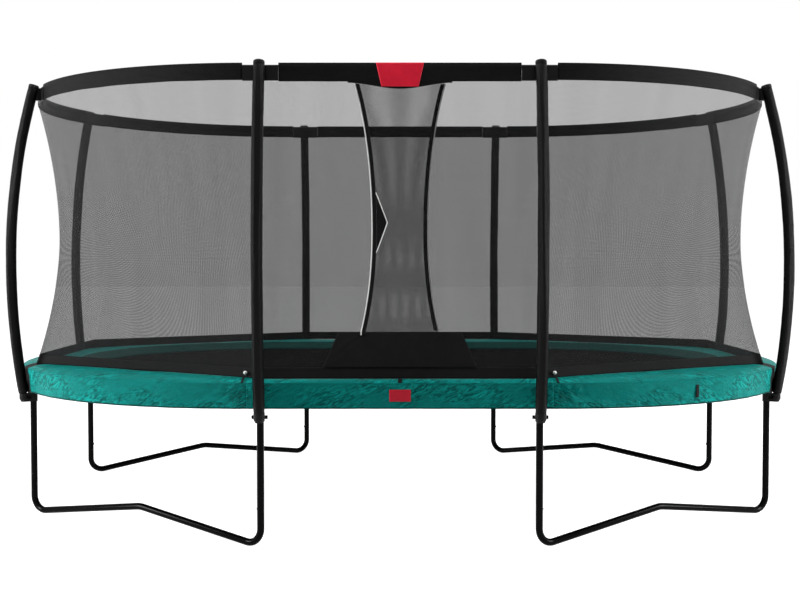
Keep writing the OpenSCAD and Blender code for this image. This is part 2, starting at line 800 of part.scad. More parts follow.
module end_sheet(z, thick) {
    reach = end_post_angle - arc_deg(pole_gap, ring_r);
    bearing = [for (j = [0:net_cols]) -reach + 2 * reach * j / net_cols];
    bend_sheet(z, thick, [for (a = bearing) foot_point(a, straight_half, ring_r)], bearing,
               foot_point(-reach, straight_half, net_bottom_r),
               foot_point(reach, straight_half, net_bottom_r));
}

module net_corner() color(net_black) corner_sheet(NET_Z, net_thick);
module net_end() color(net_black) end_sheet(NET_Z, net_thick);

// A black band along the net's lower edge that stands on the pad.
module net_hem() {
    reach = side_post_x - pole_gap;
    z = row_z(hem_foot_z, hem_z + hem_height, 1);
    color(black) {
        for (side = [left, right], depth = [front, back])
            quarter(side, depth) corner_sheet(HEM_Z, hem_thick);
        for (side = [left, right]) quarter(side, back) end_sheet(HEM_Z, hem_thick);
        for (depth = [front, back]) mirror([0, depth > 0 ? 1 : 0, 0])
            level_sheet(z, [for (h = z) [-reach, reach]], 0, hem_thick);
    }
}

// ---- door ---------------------------------------------------------------

flap_rows = 20;
flap_cols = 4;
net_mid_z = (hem_z + band_z) / 2;
flap_low_z = threshold_z + flap_clearance;

// Height of the door header's lower edge at an x
function header_z(x) =
    band_z - layer_gap - header_side_drop - header_drop * pow(cos(90 * x / door_hinge_x), 2);
// Half width of the overlap at a height
function door_half(z) =
    door_waist_half + door_flare * pow((z - net_mid_z) / ((band_z - hem_z) / 2), 2);
FLAP_HALF = [for (z = row_z(flap_low_z, header_z(door_waist_half + door_flare), flap_rows))
    door_half(z)];

// A sheet of a door flap from the x of every point, row by row.
module flap_sheet(xs, offset, thick) {
    zs = [for (i = [0:flap_rows]) [for (x = xs[i])
        flap_low_z + (header_z(x) - flap_clearance - flap_low_z) * i / flap_rows]];
    front_sheet(xs, zs, offset, thick);
}

// The x of every point of a flap between its sewn edge and its free edge.
// The free edge is on the given side.
function flap_x(side) = [for (half = FLAP_HALF)
    let (a = min(side * half, -side * (door_hinge_x - layer_gap)),
         b = max(side * half, -side * (door_hinge_x - layer_gap)))
    [for (j = [0:flap_cols]) a + (b - a) * j / flap_cols]];

// The x of a strip along a free edge. Negative distances stand out past it.
function strip_x(side, from, to) = [for (half = FLAP_HALF)
    let (a = side * (half - from), b = side * (half - to)) [min(a, b), max(a, b)]];

// The edge of a flap on one side: a black strip on the given face of the
// cloth, and pale piping past it.
module flap_edge(side, face) {
    color(black) flap_sheet(strip_x(side, 0, flap_strip_w),
                            face * (flap_offset + net_thick + layer_gap), net_thick);
    color(white) flap_sheet(strip_x(side, -piping_w, -layer_gap),
                            face * (flap_offset + net_thick / 2), 2 * net_thick);
}

// The outer flap is sewn at the right of the door and opens at the left.
module outer_flap() color(net_black) flap_sheet(flap_x(left), -flap_offset, net_thick);
module outer_flap_edge() flap_edge(left, -1);

// The inner flap is sewn at the left of the door and opens at the right.
module inner_flap() color(net_black) flap_sheet(flap_x(right), flap_offset, net_thick);
module inner_flap_edge() flap_edge(right, 1);

// A pointed tab that is sewn on the outer flap beside its edge strip.
module pull_tab() {
    low = tab_z - tab_height / 2;
    z = row_z(low, low + tab_height, 6);
    start = flap_strip_w + layer_gap;
    function reach(h) = 2 + tab_width * (1 - abs(h - tab_z) / (tab_height / 2));
    color(black)
        level_sheet(z, [for (h = z) [-door_half(h) + start, -door_half(h) + start + reach(h)]],
                    -flap_offset - net_thick - layer_gap, net_thick);
}

// An opaque trapezoid under the door that stands on the hem.
module door_threshold() {
    low = hem_z + hem_height + layer_gap;
    z = row_z(low, threshold_z, 4);
    slope = (threshold_top_half - threshold_bottom_half) / (threshold_z - low);
    function half(h) = threshold_bottom_half + slope * (h - low);
    color(black) level_sheet(z, [for (h = z) [-half(h), half(h)]],
                             -flap_offset - net_thick - layer_gap, net_thick);
}

// A curved strip of sleeve fabric under the ring at the top of the door.
module door_header() {
    x = [for (j = [0:12]) door_hinge_x * (j / 6 - 1)];
    grid = [for (y = [-ring_r - net_thick / 2, -ring_r + net_thick / 2])
        [[for (j = x) [j, y, header_z(j)]], [for (j = x) [j, y, band_z - layer_gap]]]];
    color(black) sheet(grid[0], grid[1]);
}

// ---- ties ---------------------------------------------------------------

tie_strap_thick = 3;
tie_ball_z = hem_height * 0.4;

tie_lean = atan(0.75 * waist(hem_z + hem_height) / hem_height);
tie_run = foot_point(end_post_angle, straight_half, net_bottom_r) - [side_post_x, net_bottom_r];

// Places its children on the leaning outer face of the hem beside each side
// post, with the hem's lower edge at height 0.
module at_ties() {
    for (side = [left, right], depth = [front, back]) quarter(side, depth)
        translate([side_post_x, net_bottom_r, hem_z])
            rotate([0, 0, atan2(tie_run[1], tie_run[0])]) rotate([tie_lean, 0, 0])
                translate([tie_side, hem_thick / 2 + seat_gap, 0]) children();
}

module net_tie_balls() {
    color(white) at_ties()
        translate([0, tie_strap_thick + seat_gap + tie_ball_d / 2, tie_ball_z])
            sphere(d = tie_ball_d, $fn = fine);
}

// A strap that lies on the pad's crown from one radius to the pad's edge.
module crown_strap(x, width, from) {
    side_sweep(x - width / 2, x + width / 2) intersection() {
        translate([pad_inner_r + pad_half, pad_top_z - crown_r]) difference() {
            circle(r = crown_r + seat_gap + tie_strap_thick, $fn = 720);
            circle(r = crown_r + seat_gap, $fn = 720);
        }
        translate([from, skirt_z]) square([pad_outer_r - 1 - from, 2 * (pad_top_z - skirt_z)]);
    }
}

// An elastic strap that runs from behind each ball down to the pad's edge,
// and the hem's two flat straps.
module net_tie_straps() {
    tie_foot = [side_post_x, net_bottom_r] + tie_side * tie_run / norm(tie_run);
    color(black) {
        at_ties() translate([-tie_strap_w / 2, 0, 0])
            cube([tie_strap_w, tie_strap_thick, tie_ball_z + tie_strap_w / 2]);
        for (side = [left, right], depth = [front, back]) quarter(side, depth)
            crown_strap(tie_foot[0] + tie_strap_w, tie_strap_w, tie_foot[1] + tie_strap_w);
        for (depth = [front, back]) quarter(right, depth)
            crown_strap(0, hem_strap_w, net_r(hem_foot_z) + hem_thick / 2 + seat_gap);
    }
}

// ---- labels -------------------------------------------------------------

// A plain red trapezoid over the ring's sleeve above the door.
module door_label() {
    color(red)
        translate([0, -ring_r - band_thick / 2 - 0.3, band_top_z]) rotate([90, 0, 0])
            linear_extrude(height = 2.4) polygon([
                [-door_label_top_w / 2, 0],
                [-door_label_bottom_w / 2, -door_label_h],
                [door_label_bottom_w / 2, -door_label_h],
                [door_label_top_w / 2, 0]]);
}

skirt_slope = atan(skirt_lean / (pad_edge_z - skirt_z));
// Radius of the skirt's outer face, and of its inner face, at a height
function skirt_out_r(z) = pad_outer_r - skirt_lean * (pad_edge_z - z) / (pad_edge_z - skirt_z);
function skirt_in_r(z) = skirt_out_r(z) - skirt_thick;

// Places a flat piece on the front skirt at an x and a height.
module on_skirt(x, z) {
    translate([x, -skirt_out_r(z) - 0.3, z]) rotate([skirt_slope, 0, 0]) children();
}

module skirt_patch() {
    color(red) on_skirt(0, (pad_edge_z + skirt_z) / 2)
        translate([-skirt_patch_w / 2, -2, -skirt_patch_h / 2])
            cube([skirt_patch_w, 2, skirt_patch_h]);
}

// ---- padding ------------------------------------------------------------

// Section of the pad: a crowned slab with a leaning skirt on its outer edge.
module pad_profile() {
    intersection() {
        polygon([
            [pad_inner_r, pad_top_z],
            [pad_inner_r, pad_bottom_z],
            [skirt_in_r(pad_bottom_z), pad_bottom_z],
            [skirt_in_r(skirt_z), skirt_z],
            [pad_outer_r - skirt_lean, skirt_z],
            [pad_outer_r, pad_edge_z],
            [pad_outer_r, pad_top_z]]);
        translate([pad_inner_r + pad_half, pad_top_z - crown_r]) circle(r = crown_r, $fn = 720);
    }
}

module pad_side() {
    reach = straight_half - pad_gap / 2;
    color(teal) side_sweep(-reach, reach) pad_profile();
}

module pad_corner() {
    gap_deg = arc_deg(pad_gap / 2, pad_inner_r);
    color(teal) end_sweep(gap_deg, 90 - gap_deg) pad_profile();
}

// A plain black tag on the skirt of the front right corner.
module size_tag() {
    tag_z = (pad_edge_z + skirt_z) / 2;
    color(black)
        translate([straight_half, 0, 0]) rotate([0, 0, -size_tag_angle])
            translate([skirt_out_r(tag_z) + 0.5, 0, tag_z]) rotate([0, skirt_slope, 0])
                translate([0, -size_tag_w / 2, -size_tag_h / 2]) cube([1.5, size_tag_w, size_tag_h]);
}

// ---- springs and mat ----------------------------------------------------

mat_top_z = rail_z + mat_rise;
ring_plane_z = mat_top_z - mat_thick / 2;
tee_clear_deg = arc_deg(tee_length / 2 + spring_d, rail_r);

// Spreads n angles between two ends
function spread(from, to, n) = [for (i = [0:n - 1]) from + (to - from) * i / (n - 1)];
corner_springs = spread(end_post_angle + tee_clear_deg, 90 - 1.5, springs_corner);
end_springs = spread(-end_post_angle + tee_clear_deg, end_post_angle - tee_clear_deg, springs_end);

// Places its children at every spring, with local +X pointing outwards.
module at_springs() {
    for (depth = [90, 270], i = [0:springs_side - 1])
        translate([(i - (springs_side - 1) / 2) * spring_pitch, 0, 0]) rotate([0, 0, depth]) children();
    for (side = [left, right], depth = [front, back], a = corner_springs)
        quarter(side, depth) translate([straight_half, 0, 0]) rotate([0, 0, a]) children();
    for (side = [left, right], a = end_springs)
        quarter(side, back) translate([straight_half, 0, 0]) rotate([0, 0, a]) children();
}

vring_base_r = mat_r + vring_wire / 2 + 0.5;
vring_tip_r = vring_base_r + vring_length;
spring_in_r = vring_tip_r + vring_wire / 2 + 0.4;
spring_out_r = rail_r - rail_d / 2 - 0.4;
spring_mid_r = (spring_in_r + spring_out_r) / 2;

// Tension springs: a coil with a straight hook shank at each end.
module springs() {
    color(zinc) at_springs() translate([0, 0, ring_plane_z]) rotate([0, 90, 0]) union() {
        translate([0, 0, spring_in_r])
            cylinder(d = 2 * spring_wire, h = spring_out_r - spring_in_r, $fn = fine);
        translate([0, 0, spring_mid_r - spring_coil / 2])
            cylinder(d = spring_d, h = spring_coil, $fn = fine);
    }
}

module stadium(r) {
    translate([-straight_half, 0]) circle(r = r, $fn = arc_fn);
    translate([straight_half, 0]) circle(r = r, $fn = arc_fn);
    translate([-straight_half, -r]) square([2 * straight_half, 2 * r]);
}

module mat() {
    color(black) translate([0, 0, mat_top_z - mat_thick])
        linear_extrude(height = mat_thick) stadium(mat_r);
}

// The edge of the mat, folded under and stitched.
module mat_hem() {
    color(black) translate([0, 0, mat_top_z - mat_thick - mat_hem_h])
        linear_extrude(height = mat_hem_h) difference() {
            stadium(mat_r);
            stadium(mat_r - mat_hem_w);
        }
}

// Triangular wire rings that join the mat to the springs.
module mat_rings() {
    half = vring_width / 2;
    inner = vring_wire;
    color(zinc) at_springs() translate([vring_base_r, 0, ring_plane_z - vring_wire / 2])
        linear_extrude(height = vring_wire) difference() {
            polygon([[-vring_wire / 2, -half], [-vring_wire / 2, half],
                     [vring_length + vring_wire / 2, vring_wire],
                     [vring_length + vring_wire / 2, -vring_wire]]);
            polygon([[vring_wire / 2, -half + 2 * inner], [vring_wire / 2, half - 2 * inner],
                     [vring_length - vring_wire / 2, inner / 2],
                     [vring_length - vring_wire / 2, -inner / 2]]);
        }
}

// ---- nodes --------------------------------------------------------------

quarter(right, front) rail_side();  // rail_front
quarter(right, back) rail_side();  // rail_back
quarter(left, back) rail_end();  // rail_end_left
quarter(right, back) rail_end();  // rail_end_right
quarter(left, front) rail_corner();  // rail_corner_front_left
quarter(right, front) rail_corner();  // rail_corner_front_right
quarter(left, back) rail_corner();  // rail_corner_back_left
quarter(right, back) rail_corner();  // rail_corner_back_right
rail_tees();
quarter(left, front) leg_base();  // leg_base_front_left
quarter(right, front) leg_base();  // leg_base_front_right
quarter(left, back) leg_base();  // leg_base_back_left
quarter(right, back) leg_base();  // leg_base_back_right
leg_uprights();
leg_screws();
pole_tubes();
pole_sleeves();
pole_caps();
pole_shoes();
pole_shoe_bolts();
ring_rods();
ring_brackets();
ring_covers();
quarter(right, front) ring_sleeve_side();  // ring_sleeve_front
quarter(right, back) ring_sleeve_side();  // ring_sleeve_back
quarter(left, back) ring_sleeve_end();  // ring_sleeve_left
quarter(right, back) ring_sleeve_end();  // ring_sleeve_right
net_front_left();
net_front_right();
net_back();
quarter(left, back) net_end();  // net_end_left
quarter(right, back) net_end();  // net_end_right
quarter(left, front) net_corner();  // net_corner_front_left
quarter(right, front) net_corner();  // net_corner_front_right
quarter(left, back) net_corner();  // net_corner_back_left
quarter(right, back) net_corner();  // net_corner_back_right
net_hem();
door_threshold();
door_header();
net_tie_balls();
net_tie_straps();
door_label();
skirt_patch();
size_tag();
quarter(right, front) pad_side();  // pad_front
quarter(right, back) pad_side();  // pad_back
quarter(left, front) pad_corner();  // pad_corner_front_left
quarter(right, front) pad_corner();  // pad_corner_front_right
quarter(left, back) pad_corner();  // pad_corner_back_left
quarter(right, back) pad_corner();  // pad_corner_back_right
springs();
mat();
mat_hem();
mat_rings();
outer_flap();
outer_flap_edge();
pull_tab();
inner_flap();
inner_flap_edge();
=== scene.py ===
from math import asin, atan2, copysign, cos, dist, exp, pi, radians, sin, sqrt

import bmesh
import bpy
from mathutils import Matrix, Vector, noise


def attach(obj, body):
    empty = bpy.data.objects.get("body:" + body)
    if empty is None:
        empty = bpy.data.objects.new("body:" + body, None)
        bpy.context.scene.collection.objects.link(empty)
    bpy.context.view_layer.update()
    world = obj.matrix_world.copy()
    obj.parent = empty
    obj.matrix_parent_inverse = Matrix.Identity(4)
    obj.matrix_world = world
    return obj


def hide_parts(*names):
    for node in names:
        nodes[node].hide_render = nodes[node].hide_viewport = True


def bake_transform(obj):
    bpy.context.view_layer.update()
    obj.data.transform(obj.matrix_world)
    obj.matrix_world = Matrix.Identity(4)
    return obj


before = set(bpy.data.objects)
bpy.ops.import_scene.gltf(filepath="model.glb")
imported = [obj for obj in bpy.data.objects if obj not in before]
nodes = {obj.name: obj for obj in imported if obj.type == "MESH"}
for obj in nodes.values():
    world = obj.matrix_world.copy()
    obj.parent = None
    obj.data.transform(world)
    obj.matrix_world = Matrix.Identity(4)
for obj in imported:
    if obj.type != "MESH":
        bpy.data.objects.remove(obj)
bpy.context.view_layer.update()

# ---- Camera ----
# It stands straight in front of the door, a little above the jumping mat's
# height, and looks down by two degrees.
eye = bpy.data.objects.new("eye", bpy.data.cameras.new("eye"))
eye.data.lens = 53.325
eye.data.sensor_width = 36.0
eye.data.clip_end = 200.0
eye.location = (0.0, -8.437, 1.665)
eye.rotation_euler = (radians(90.0 - 2.04), 0.0, 0.0)
bpy.context.scene.collection.objects.link(eye)
bpy.context.scene.camera = eye
bpy.context.scene.view_settings.view_transform = "Standard"


# ---- Studio ----
# A white floor that keeps a soft shadow, a white surround, two broad lamps at
# the sides in front, one overhead and a weaker one behind.
def add_node(tree, kind, sockets=None, **settings):
    """A node with its settings, and its input sockets joined or given values."""
    node = tree.nodes.new(kind)
    for key, value in settings.items():
        setattr(node, key, value)
    for key, value in (sockets or {}).items():
        if isinstance(value, bpy.types.NodeSocket):
            tree.links.new(value, node.inputs[key])
        else:
            node.inputs[key].default_value = value
    return node


def calc(tree, operation, *values):
    """The result of a math node."""
    return add_node(tree, "ShaderNodeMath", dict(enumerate(values)), operation=operation).outputs[0]


def mesh_of(shape, name):
    """Turns a bmesh into a mesh and lets go of it."""
    mesh = bpy.data.meshes.new(name)
    shape.to_mesh(mesh)
    shape.free()
    return mesh


def white_where_seen(tree, kind, strength):
    """A mask of the camera's and mirrors' rays, and the plain white that they see."""
    path = add_node(tree, "ShaderNodeLightPath").outputs
    seen = calc(tree, "MAXIMUM", path["Is Camera Ray"], path["Is Glossy Ray"])
    seen = calc(tree, "MAXIMUM", seen, path["Is Transmission Ray"])
    glow = add_node(tree, kind, {"Color": (1.0, 1.0, 1.0, 1.0), "Strength": strength})
    return seen, glow.outputs[0]


shape = bmesh.new()
bmesh.ops.create_grid(shape, x_segments=1, y_segments=1, size=60.0)
floor_mesh = mesh_of(shape, "floor")
floor = bpy.data.objects.new("floor", floor_mesh)
bpy.context.scene.collection.objects.link(floor)
floor_white = bpy.data.materials.new("floor_white")
floor_white.use_nodes = True
tree = floor_white.node_tree
tree.nodes.remove(tree.nodes["Principled BSDF"])
matt = add_node(tree, "ShaderNodeBsdfDiffuse", {"Color": (0.62, 0.62, 0.62, 1.0)})
seen, glow = white_where_seen(tree, "ShaderNodeEmission", 0.93)
both = add_node(tree, "ShaderNodeAddShader", {0: matt.outputs[0], 1: glow})
floor_mix = add_node(tree, "ShaderNodeMixShader", {0: seen, 1: matt.outputs[0], 2: both.outputs[0]})
tree.links.new(floor_mix.outputs[0], tree.nodes["Material Output"].inputs["Surface"])
floor_mesh.materials.append(floor_white)

surround = bpy.data.worlds.new("surround")
surround.use_nodes = True
tree = surround.node_tree
soft = tree.nodes["Background"]
soft.inputs["Color"].default_value = (0.96, 0.98, 1.0, 1.0)
soft.inputs["Strength"].default_value = 0.275
seen, glow = white_where_seen(tree, "ShaderNodeBackground", 1.0)
world_mix = add_node(tree, "ShaderNodeMixShader", {0: seen, 1: soft.outputs[0], 2: glow})
tree.links.new(world_mix.outputs[0], tree.nodes["World Output"].inputs["Surface"])
bpy.context.scene.world = surround


def soft_lamp(name, place, aim, width, height, watts):
    """A broad rectangular lamp that looks at a point."""
    data = bpy.data.lights.new(name, "AREA")
    data.shape = "RECTANGLE"
    data.size = width
    data.size_y = height
    data.energy = watts
    lamp = bpy.data.objects.new(name, data)
    lamp.location = place
    lamp.rotation_euler = (Vector(aim) - Vector(place)).to_track_quat("-Z", "Y").to_euler()
    bpy.context.scene.collection.objects.link(lamp)


soft_lamp("lamp_left", (-7.0, -2.6, 2.6), (-0.6, 0.0, 1.3), 1.2, 3.6, 540.0)
soft_lamp("lamp_right", (7.0, -2.2, 2.6), (0.6, 0.0, 1.3), 1.2, 3.6, 455.0)
soft_lamp("lamp_top", (0.0, -0.6, 7.0), (0.0, 0.0, 1.0), 5.0, 4.0, 420.0)
soft_lamp("lamp_back", (0.0, 7.5, 4.5), (0.0, 0.0, 1.4), 5.0, 3.0, 120.0)


# ---- Rail and T-joints ----
# Eight galvanised tubes meet in eight galvanised joints. The zinc has crystal
# spangles and dull patches.
def effect(name, inputs, outputs):
    """A shader node group with named sockets, and its first and last node."""
    group = bpy.data.node_groups.new(name, "ShaderNodeTree")
    for way, sockets in (("INPUT", inputs), ("OUTPUT", outputs)):
        for label, kind in sockets.items():
            group.interface.new_socket(label, in_out=way, socket_type=f"NodeSocket{kind}")
    return group, group.nodes.new("NodeGroupInput"), group.nodes.new("NodeGroupOutput")


def use_effect(tree, group, sockets):
    """Places an effect in a material with its own values."""
    return add_node(tree, "ShaderNodeGroup", sockets, node_tree=group).outputs


def mapped(tree, value, from_min, from_max, to_min=0.0, to_max=1.0, **settings):
    """A value moved from one range to another."""
    return add_node(tree, "ShaderNodeMapRange", {
        "Value": value, "From Min": from_min, "From Max": from_max, "To Min": to_min, "To Max": to_max},
        **settings).outputs[0]


def clouds(tree, where, scale, detail, **sockets):
    """A noise pattern's grey value."""
    return add_node(tree, "ShaderNodeTexNoise", {
        "Vector": where, "Scale": scale, "Detail": detail, **sockets}).outputs["Fac"]


# Soft patches of two tones of a colour, as handling and age leave them.
patches, first, last = effect("soft_patches", {
    "Vector": "Vector", "Tone A": "Color", "Tone B": "Color", "Size": "Float", "Rough A": "Float",
    "Rough B": "Float"}, {"Color": "Color", "Roughness": "Float"})
cloud = clouds(patches, first.outputs["Vector"], first.outputs["Size"], 5.0, Roughness=0.6)
spread = mapped(patches, cloud, 0.32, 0.68)
tone = add_node(patches, "ShaderNodeMix", {
    0: spread, 6: first.outputs["Tone A"], 7: first.outputs["Tone B"]}, data_type="RGBA")
rough = add_node(patches, "ShaderNodeMix", {
    0: spread, 2: first.outputs["Rough A"], 3: first.outputs["Rough B"]})
patches.links.new(tone.outputs[2], last.inputs["Color"])
patches.links.new(rough.outputs[0], last.inputs["Roughness"])


def finish_of(name, tone_a, tone_b, rough_a, rough_b, size, coords="Object", gloss=0.5):
    """A material whose colour and roughness vary in soft patches, with its tree, shader and coordinates."""
    made = bpy.data.materials.new(name)
    made.use_nodes = True
    tree = made.node_tree
    shader = tree.nodes["Principled BSDF"]
    shader.inputs["Specular IOR Level"].default_value = gloss
    where = add_node(tree, "ShaderNodeTexCoord").outputs[coords]
    out = use_effect(tree, patches, {"Vector": where, "Size": size, "Tone A": (*tone_a, 1.0),
                                     "Tone B": (*tone_b, 1.0), "Rough A": rough_a, "Rough B": rough_b})
    tree.links.new(out["Color"], shader.inputs["Base Color"])
    tree.links.new(out["Roughness"], shader.inputs["Roughness"])
    return made, tree, shader, where


def raise_by(tree, shader, height, strength, depth):
    """Feeds a height to a shader's normal through a bump node."""
    bump = add_node(tree, "ShaderNodeBump", {"Height": height, "Strength": strength, "Distance": depth})
    tree.links.new(bump.outputs[0], shader.inputs["Normal"])


def dress(names, material):
    """Gives CAD nodes a material."""
    for name in names:
        node = nodes[name]
        if not node.material_slots:
            node.data.materials.append(material)
        for slot in node.material_slots:
            slot.material = material


galvanised, tree, shader, where = finish_of(
    "galvanised_steel", (0.50, 0.52, 0.54), (0.66, 0.68, 0.70), 0.38, 0.52, 14.0)
shader.inputs["Metallic"].default_value = 0.9
spangle = add_node(tree, "ShaderNodeTexVoronoi", {"Vector": where, "Scale": 130.0, "Randomness": 1.0})
raise_by(tree, shader, spangle.outputs["Distance"], 0.10, 0.0006)
dress([n for n in nodes if n.startswith("rail_")], galvanised)

# ---- Legs ----
# Four bent tubes and eight uprights of steel tube in glossy black powder coat,
# with a black screw above each seam.


def grained(finish, scale, detail, strength, depth):
    """Gives a finish a fine grain."""
    made, tree, shader, where = finish
    raise_by(tree, shader, clouds(tree, where, scale, detail), strength, depth)
    return made


coated = grained(finish_of(
    "black_powder_coat", (0.0008, 0.0008, 0.0008), (0.0016, 0.0016, 0.0016), 0.14, 0.20, 6.0,
    gloss=0.035), 420.0, 2.0, 0.06, 0.0004)
dress([n for n in nodes if n.startswith("leg_")], coated)

# ---- Net poles, shoes and caps ----
# Bowed steel tubes. A moulded shoe clamps each one to its leg with a bolt, and
# a rounded cap closes its top.
moulded = grained(finish_of(
    "moulded_black_plastic", (0.003, 0.003, 0.003), (0.006, 0.006, 0.006), 0.34, 0.46, 9.0,
    gloss=0.09), 900.0, 3.0, 0.12, 0.0003)
dress(["pole_shoes", "ring_brackets", "ring_covers"], moulded)
dress(["pole_tubes", "pole_shoe_bolts"], coated)


# ---- Pole sleeves ----
# Foam round each pole in a sewn tube of black coated cloth. The cloth is a
# little wide, so it lies in long soft folds that twist round the foam.
def laid(name, columns, rows, place, size, closed=False, flip=False, parts=None):
    """A mesh from a grid that place(u, v) lays out, with u and v from 0 to 1 and UVs in metres.
    closed joins the last column to the first and closes both ends. parts(column, row) picks a material."""
    shape = bmesh.new()
    bmesh.ops.create_grid(shape, x_segments=columns, y_segments=rows, size=0.5)
    uv = shape.loops.layers.uv.new("UVMap")
    for face in shape.faces:
        if parts:
            middle = face.calc_center_median()
            face.material_index = parts(int((middle.x + 0.5) * columns), int((middle.y + 0.5) * rows))
        for loop in face.loops:
            loop[uv].uv = ((loop.vert.co.x + 0.5) * size[0], (loop.vert.co.y + 0.5) * size[1])
    for vert in shape.verts:
        vert.co = place(vert.co.x + 0.5, vert.co.y + 0.5)
    if closed:
        bmesh.ops.remove_doubles(shape, verts=shape.verts, dist=1e-6)
        bmesh.ops.holes_fill(shape, edges=[e for e in shape.edges if e.is_boundary], sides=0)
        bmesh.ops.recalc_face_normals(shape, faces=shape.faces)
    elif flip:
        bmesh.ops.reverse_faces(shape, faces=shape.faces)
    mesh = mesh_of(shape, name)
    mesh.shade_smooth()
    return mesh


def add_piece(name, mesh, materials, stands_for, body="frame"):
    """An object of the finished mesh that stands for CAD nodes and rides on a body."""
    for material in materials:
        mesh.materials.append(material)
    piece = bpy.data.objects.new(name, mesh)
    bpy.context.scene.collection.objects.link(piece)
    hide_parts(*stands_for)
    if body:
        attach(piece, body)
    return piece


def sewn(name, columns, rows, place, size, materials, slot, stands_for, body="frame", **form):
    """A piece whose mesh is laid out on a grid."""
    mesh = laid(name, columns, rows, place, size, **form)
    return add_piece(name, mesh, materials, stands_for, body)


def turn_by(degrees, axis):
    return Matrix.Rotation(radians(degrees), 4, axis)


def rough_noise(*at):
    return noise.noise(Vector((*at, 0.0, 0.0)[:3]))


# Crossed threads of a plain weave, from coordinates in metres.
weave, first, last = effect("plain_weave", {"Vector": "Vector", "Thread": "Float"}, {"Height": "Float"})
axes = add_node(weave, "ShaderNodeSeparateXYZ", {0: first.outputs["Vector"]})
turns = calc(weave, "DIVIDE", pi, first.outputs["Thread"])
sines = [calc(weave, "SINE", calc(weave, "MULTIPLY", axes.outputs[axis], turns)) for axis in (0, 1)]
level = calc(weave, "MULTIPLY_ADD", calc(weave, "MULTIPLY", *sines), 0.5, 0.5)
weave.links.new(level, last.inputs["Height"])


def threads_of(tree, where, thread):
    """The height of a plain weave of such threads."""
    return use_effect(tree, weave, {"Vector": where, "Thread": thread})["Height"]


def black_cloth(name, rough_a, rough_b, tone=0.0022, thread=0.0011, crease=0.5, gloss=0.055):
    """Black coated cloth with a plain weave and fine creases."""
    made, tree, shader, where = finish_of(
        name, (tone, tone, tone), (tone * 2.2, tone * 2.2, tone * 2.3), rough_a, rough_b, 7.0, "UV", gloss)
    creases = clouds(tree, where, 26.0, 4.0, Roughness=0.55, Distortion=0.6)
    height = calc(tree, "MULTIPLY_ADD", creases, 6.0 * crease, threads_of(tree, where, thread))
    raise_by(tree, shader, height, 0.5, 0.0009)
    return made


sleeve_cloth = black_cloth("pole_sleeve_cloth", 0.27, 0.40, tone=0.0008, gloss=0.070)
BEND_X, POST_X = 0.875, 0.8
POSTS = [(BEND_X, 25.0), (POST_X, 90.0), (-POST_X, 90.0), (-BEND_X, 155.0),
         (-BEND_X, 205.0), (-POST_X, 270.0), (POST_X, 270.0), (BEND_X, 335.0)]
BOW_R, BOW_OUT, BOW_Z = 4.62, 1.812, 1.59


def pole_angle(z):
    return asin((z - BOW_Z) / BOW_R)


def pole_sway(post_x, bearing):
    """How far a side pole stands further along the side than its foot."""
    return copysign({90.0: 0.012, 270.0: 0.002}.get(bearing, 0.0), post_x)


SLEEVE_FROM, SLEEVE_TO, SLEEVE_R = pole_angle(0.788), pole_angle(2.785) - 0.024 / BOW_R, 0.0330
for number, (post_x, bearing) in enumerate(POSTS):
    turn = Matrix.Translation((post_x, 0.0, 0.0)) @ turn_by(bearing, "Z")

    def sleeve_point(u, v, number=number, turn=turn, sway=pole_sway(post_x, bearing)):
        around, along = 2.0 * pi * (u % 1.0), BOW_R * (SLEEVE_TO - SLEEVE_FROM) * v
        end_hold = min(1.0, min(v, 1.0 - v) * 14.0)
        twist = around + 0.8 * along + 1.3 * rough_noise(along * 0.9, number * 7.3)
        folds = 0.0014 * sin(3.0 * twist) + 0.0009 * sin(5.0 * twist - 2.1 * along)
        drape = 0.0022 * rough_noise(1.4 * cos(around), 1.4 * sin(around) + 5.0 * number, along * 3.4)
        nicks = 0.0009 * rough_noise(3.0 * cos(around) + number, 3.0 * sin(around), along * 17.0)
        tuck = 0.0012 * (1.0 - min(1.0, min(v, 1.0 - v) * 60.0))
        r = SLEEVE_R + end_hold * (folds + drape + nicks) - tuck
        phi = SLEEVE_FROM + (SLEEVE_TO - SLEEVE_FROM) * v
        reach = BOW_R + r * cos(around)
        spot = turn @ Vector((BOW_OUT - BOW_R + reach * cos(phi), r * sin(around), BOW_Z + reach * sin(phi)))
        return spot + Vector((sway * min(1.0, v * 8.0), 0.0, 0.0))

    sewn(f"pole_sleeve_{number + 1}", 40, 200, sleeve_point, (0.214, 1.97), [sleeve_cloth],
                   "black_fabric", ["pole_sleeves"], closed=True)

# The caps stand on the poles' tops, so those of the side poles move with them.
shape = bmesh.new()
shape.from_mesh(nodes["pole_caps"].data)
for vert in shape.verts:
    if abs(vert.co.x) < 1.0:
        vert.co.x += pole_sway(vert.co.x, 90.0 if vert.co.y > 0.0 else 270.0)
add_piece("pole_cap_set", mesh_of(shape, "pole_cap_set"), [moulded], ["pole_caps"])

# ---- Top ring ----
# Glass-fibre rods in flat sewn sleeves of black cloth that hang between the
# poles. At each pole the ring lies bare in a plastic cover, held by a bracket.
dress(["ring_rods"], finish_of(
    "glass_fibre_rod", (0.62, 0.58, 0.44), (0.78, 0.74, 0.60), 0.30, 0.42, 18.0)[0])

SIDES, ENDS = ((-1, "left"), (1, "right")), ((-1, "front"), (1, "back"))
band_cloth = black_cloth("ring_sleeve_cloth", 0.46, 0.60, crease=0.7)
RING_R = 1.612

# Round a flat sleeve: the side, 1 outside and -1 inside, and the share of the height.
BAND = [(1.0, (i + 0.5) / 16.0) for i in range(16)]
BAND += [(cos(pi * (i + 0.5) / 5.0), 1.0 + 0.01 * i) for i in range(5)]
BAND += [(-1.0, 1.0 - (i + 0.5) / 10.0) for i in range(10)]
BAND += [(-cos(pi * (i + 0.5) / 5.0), -0.01 * i) for i in range(5)]


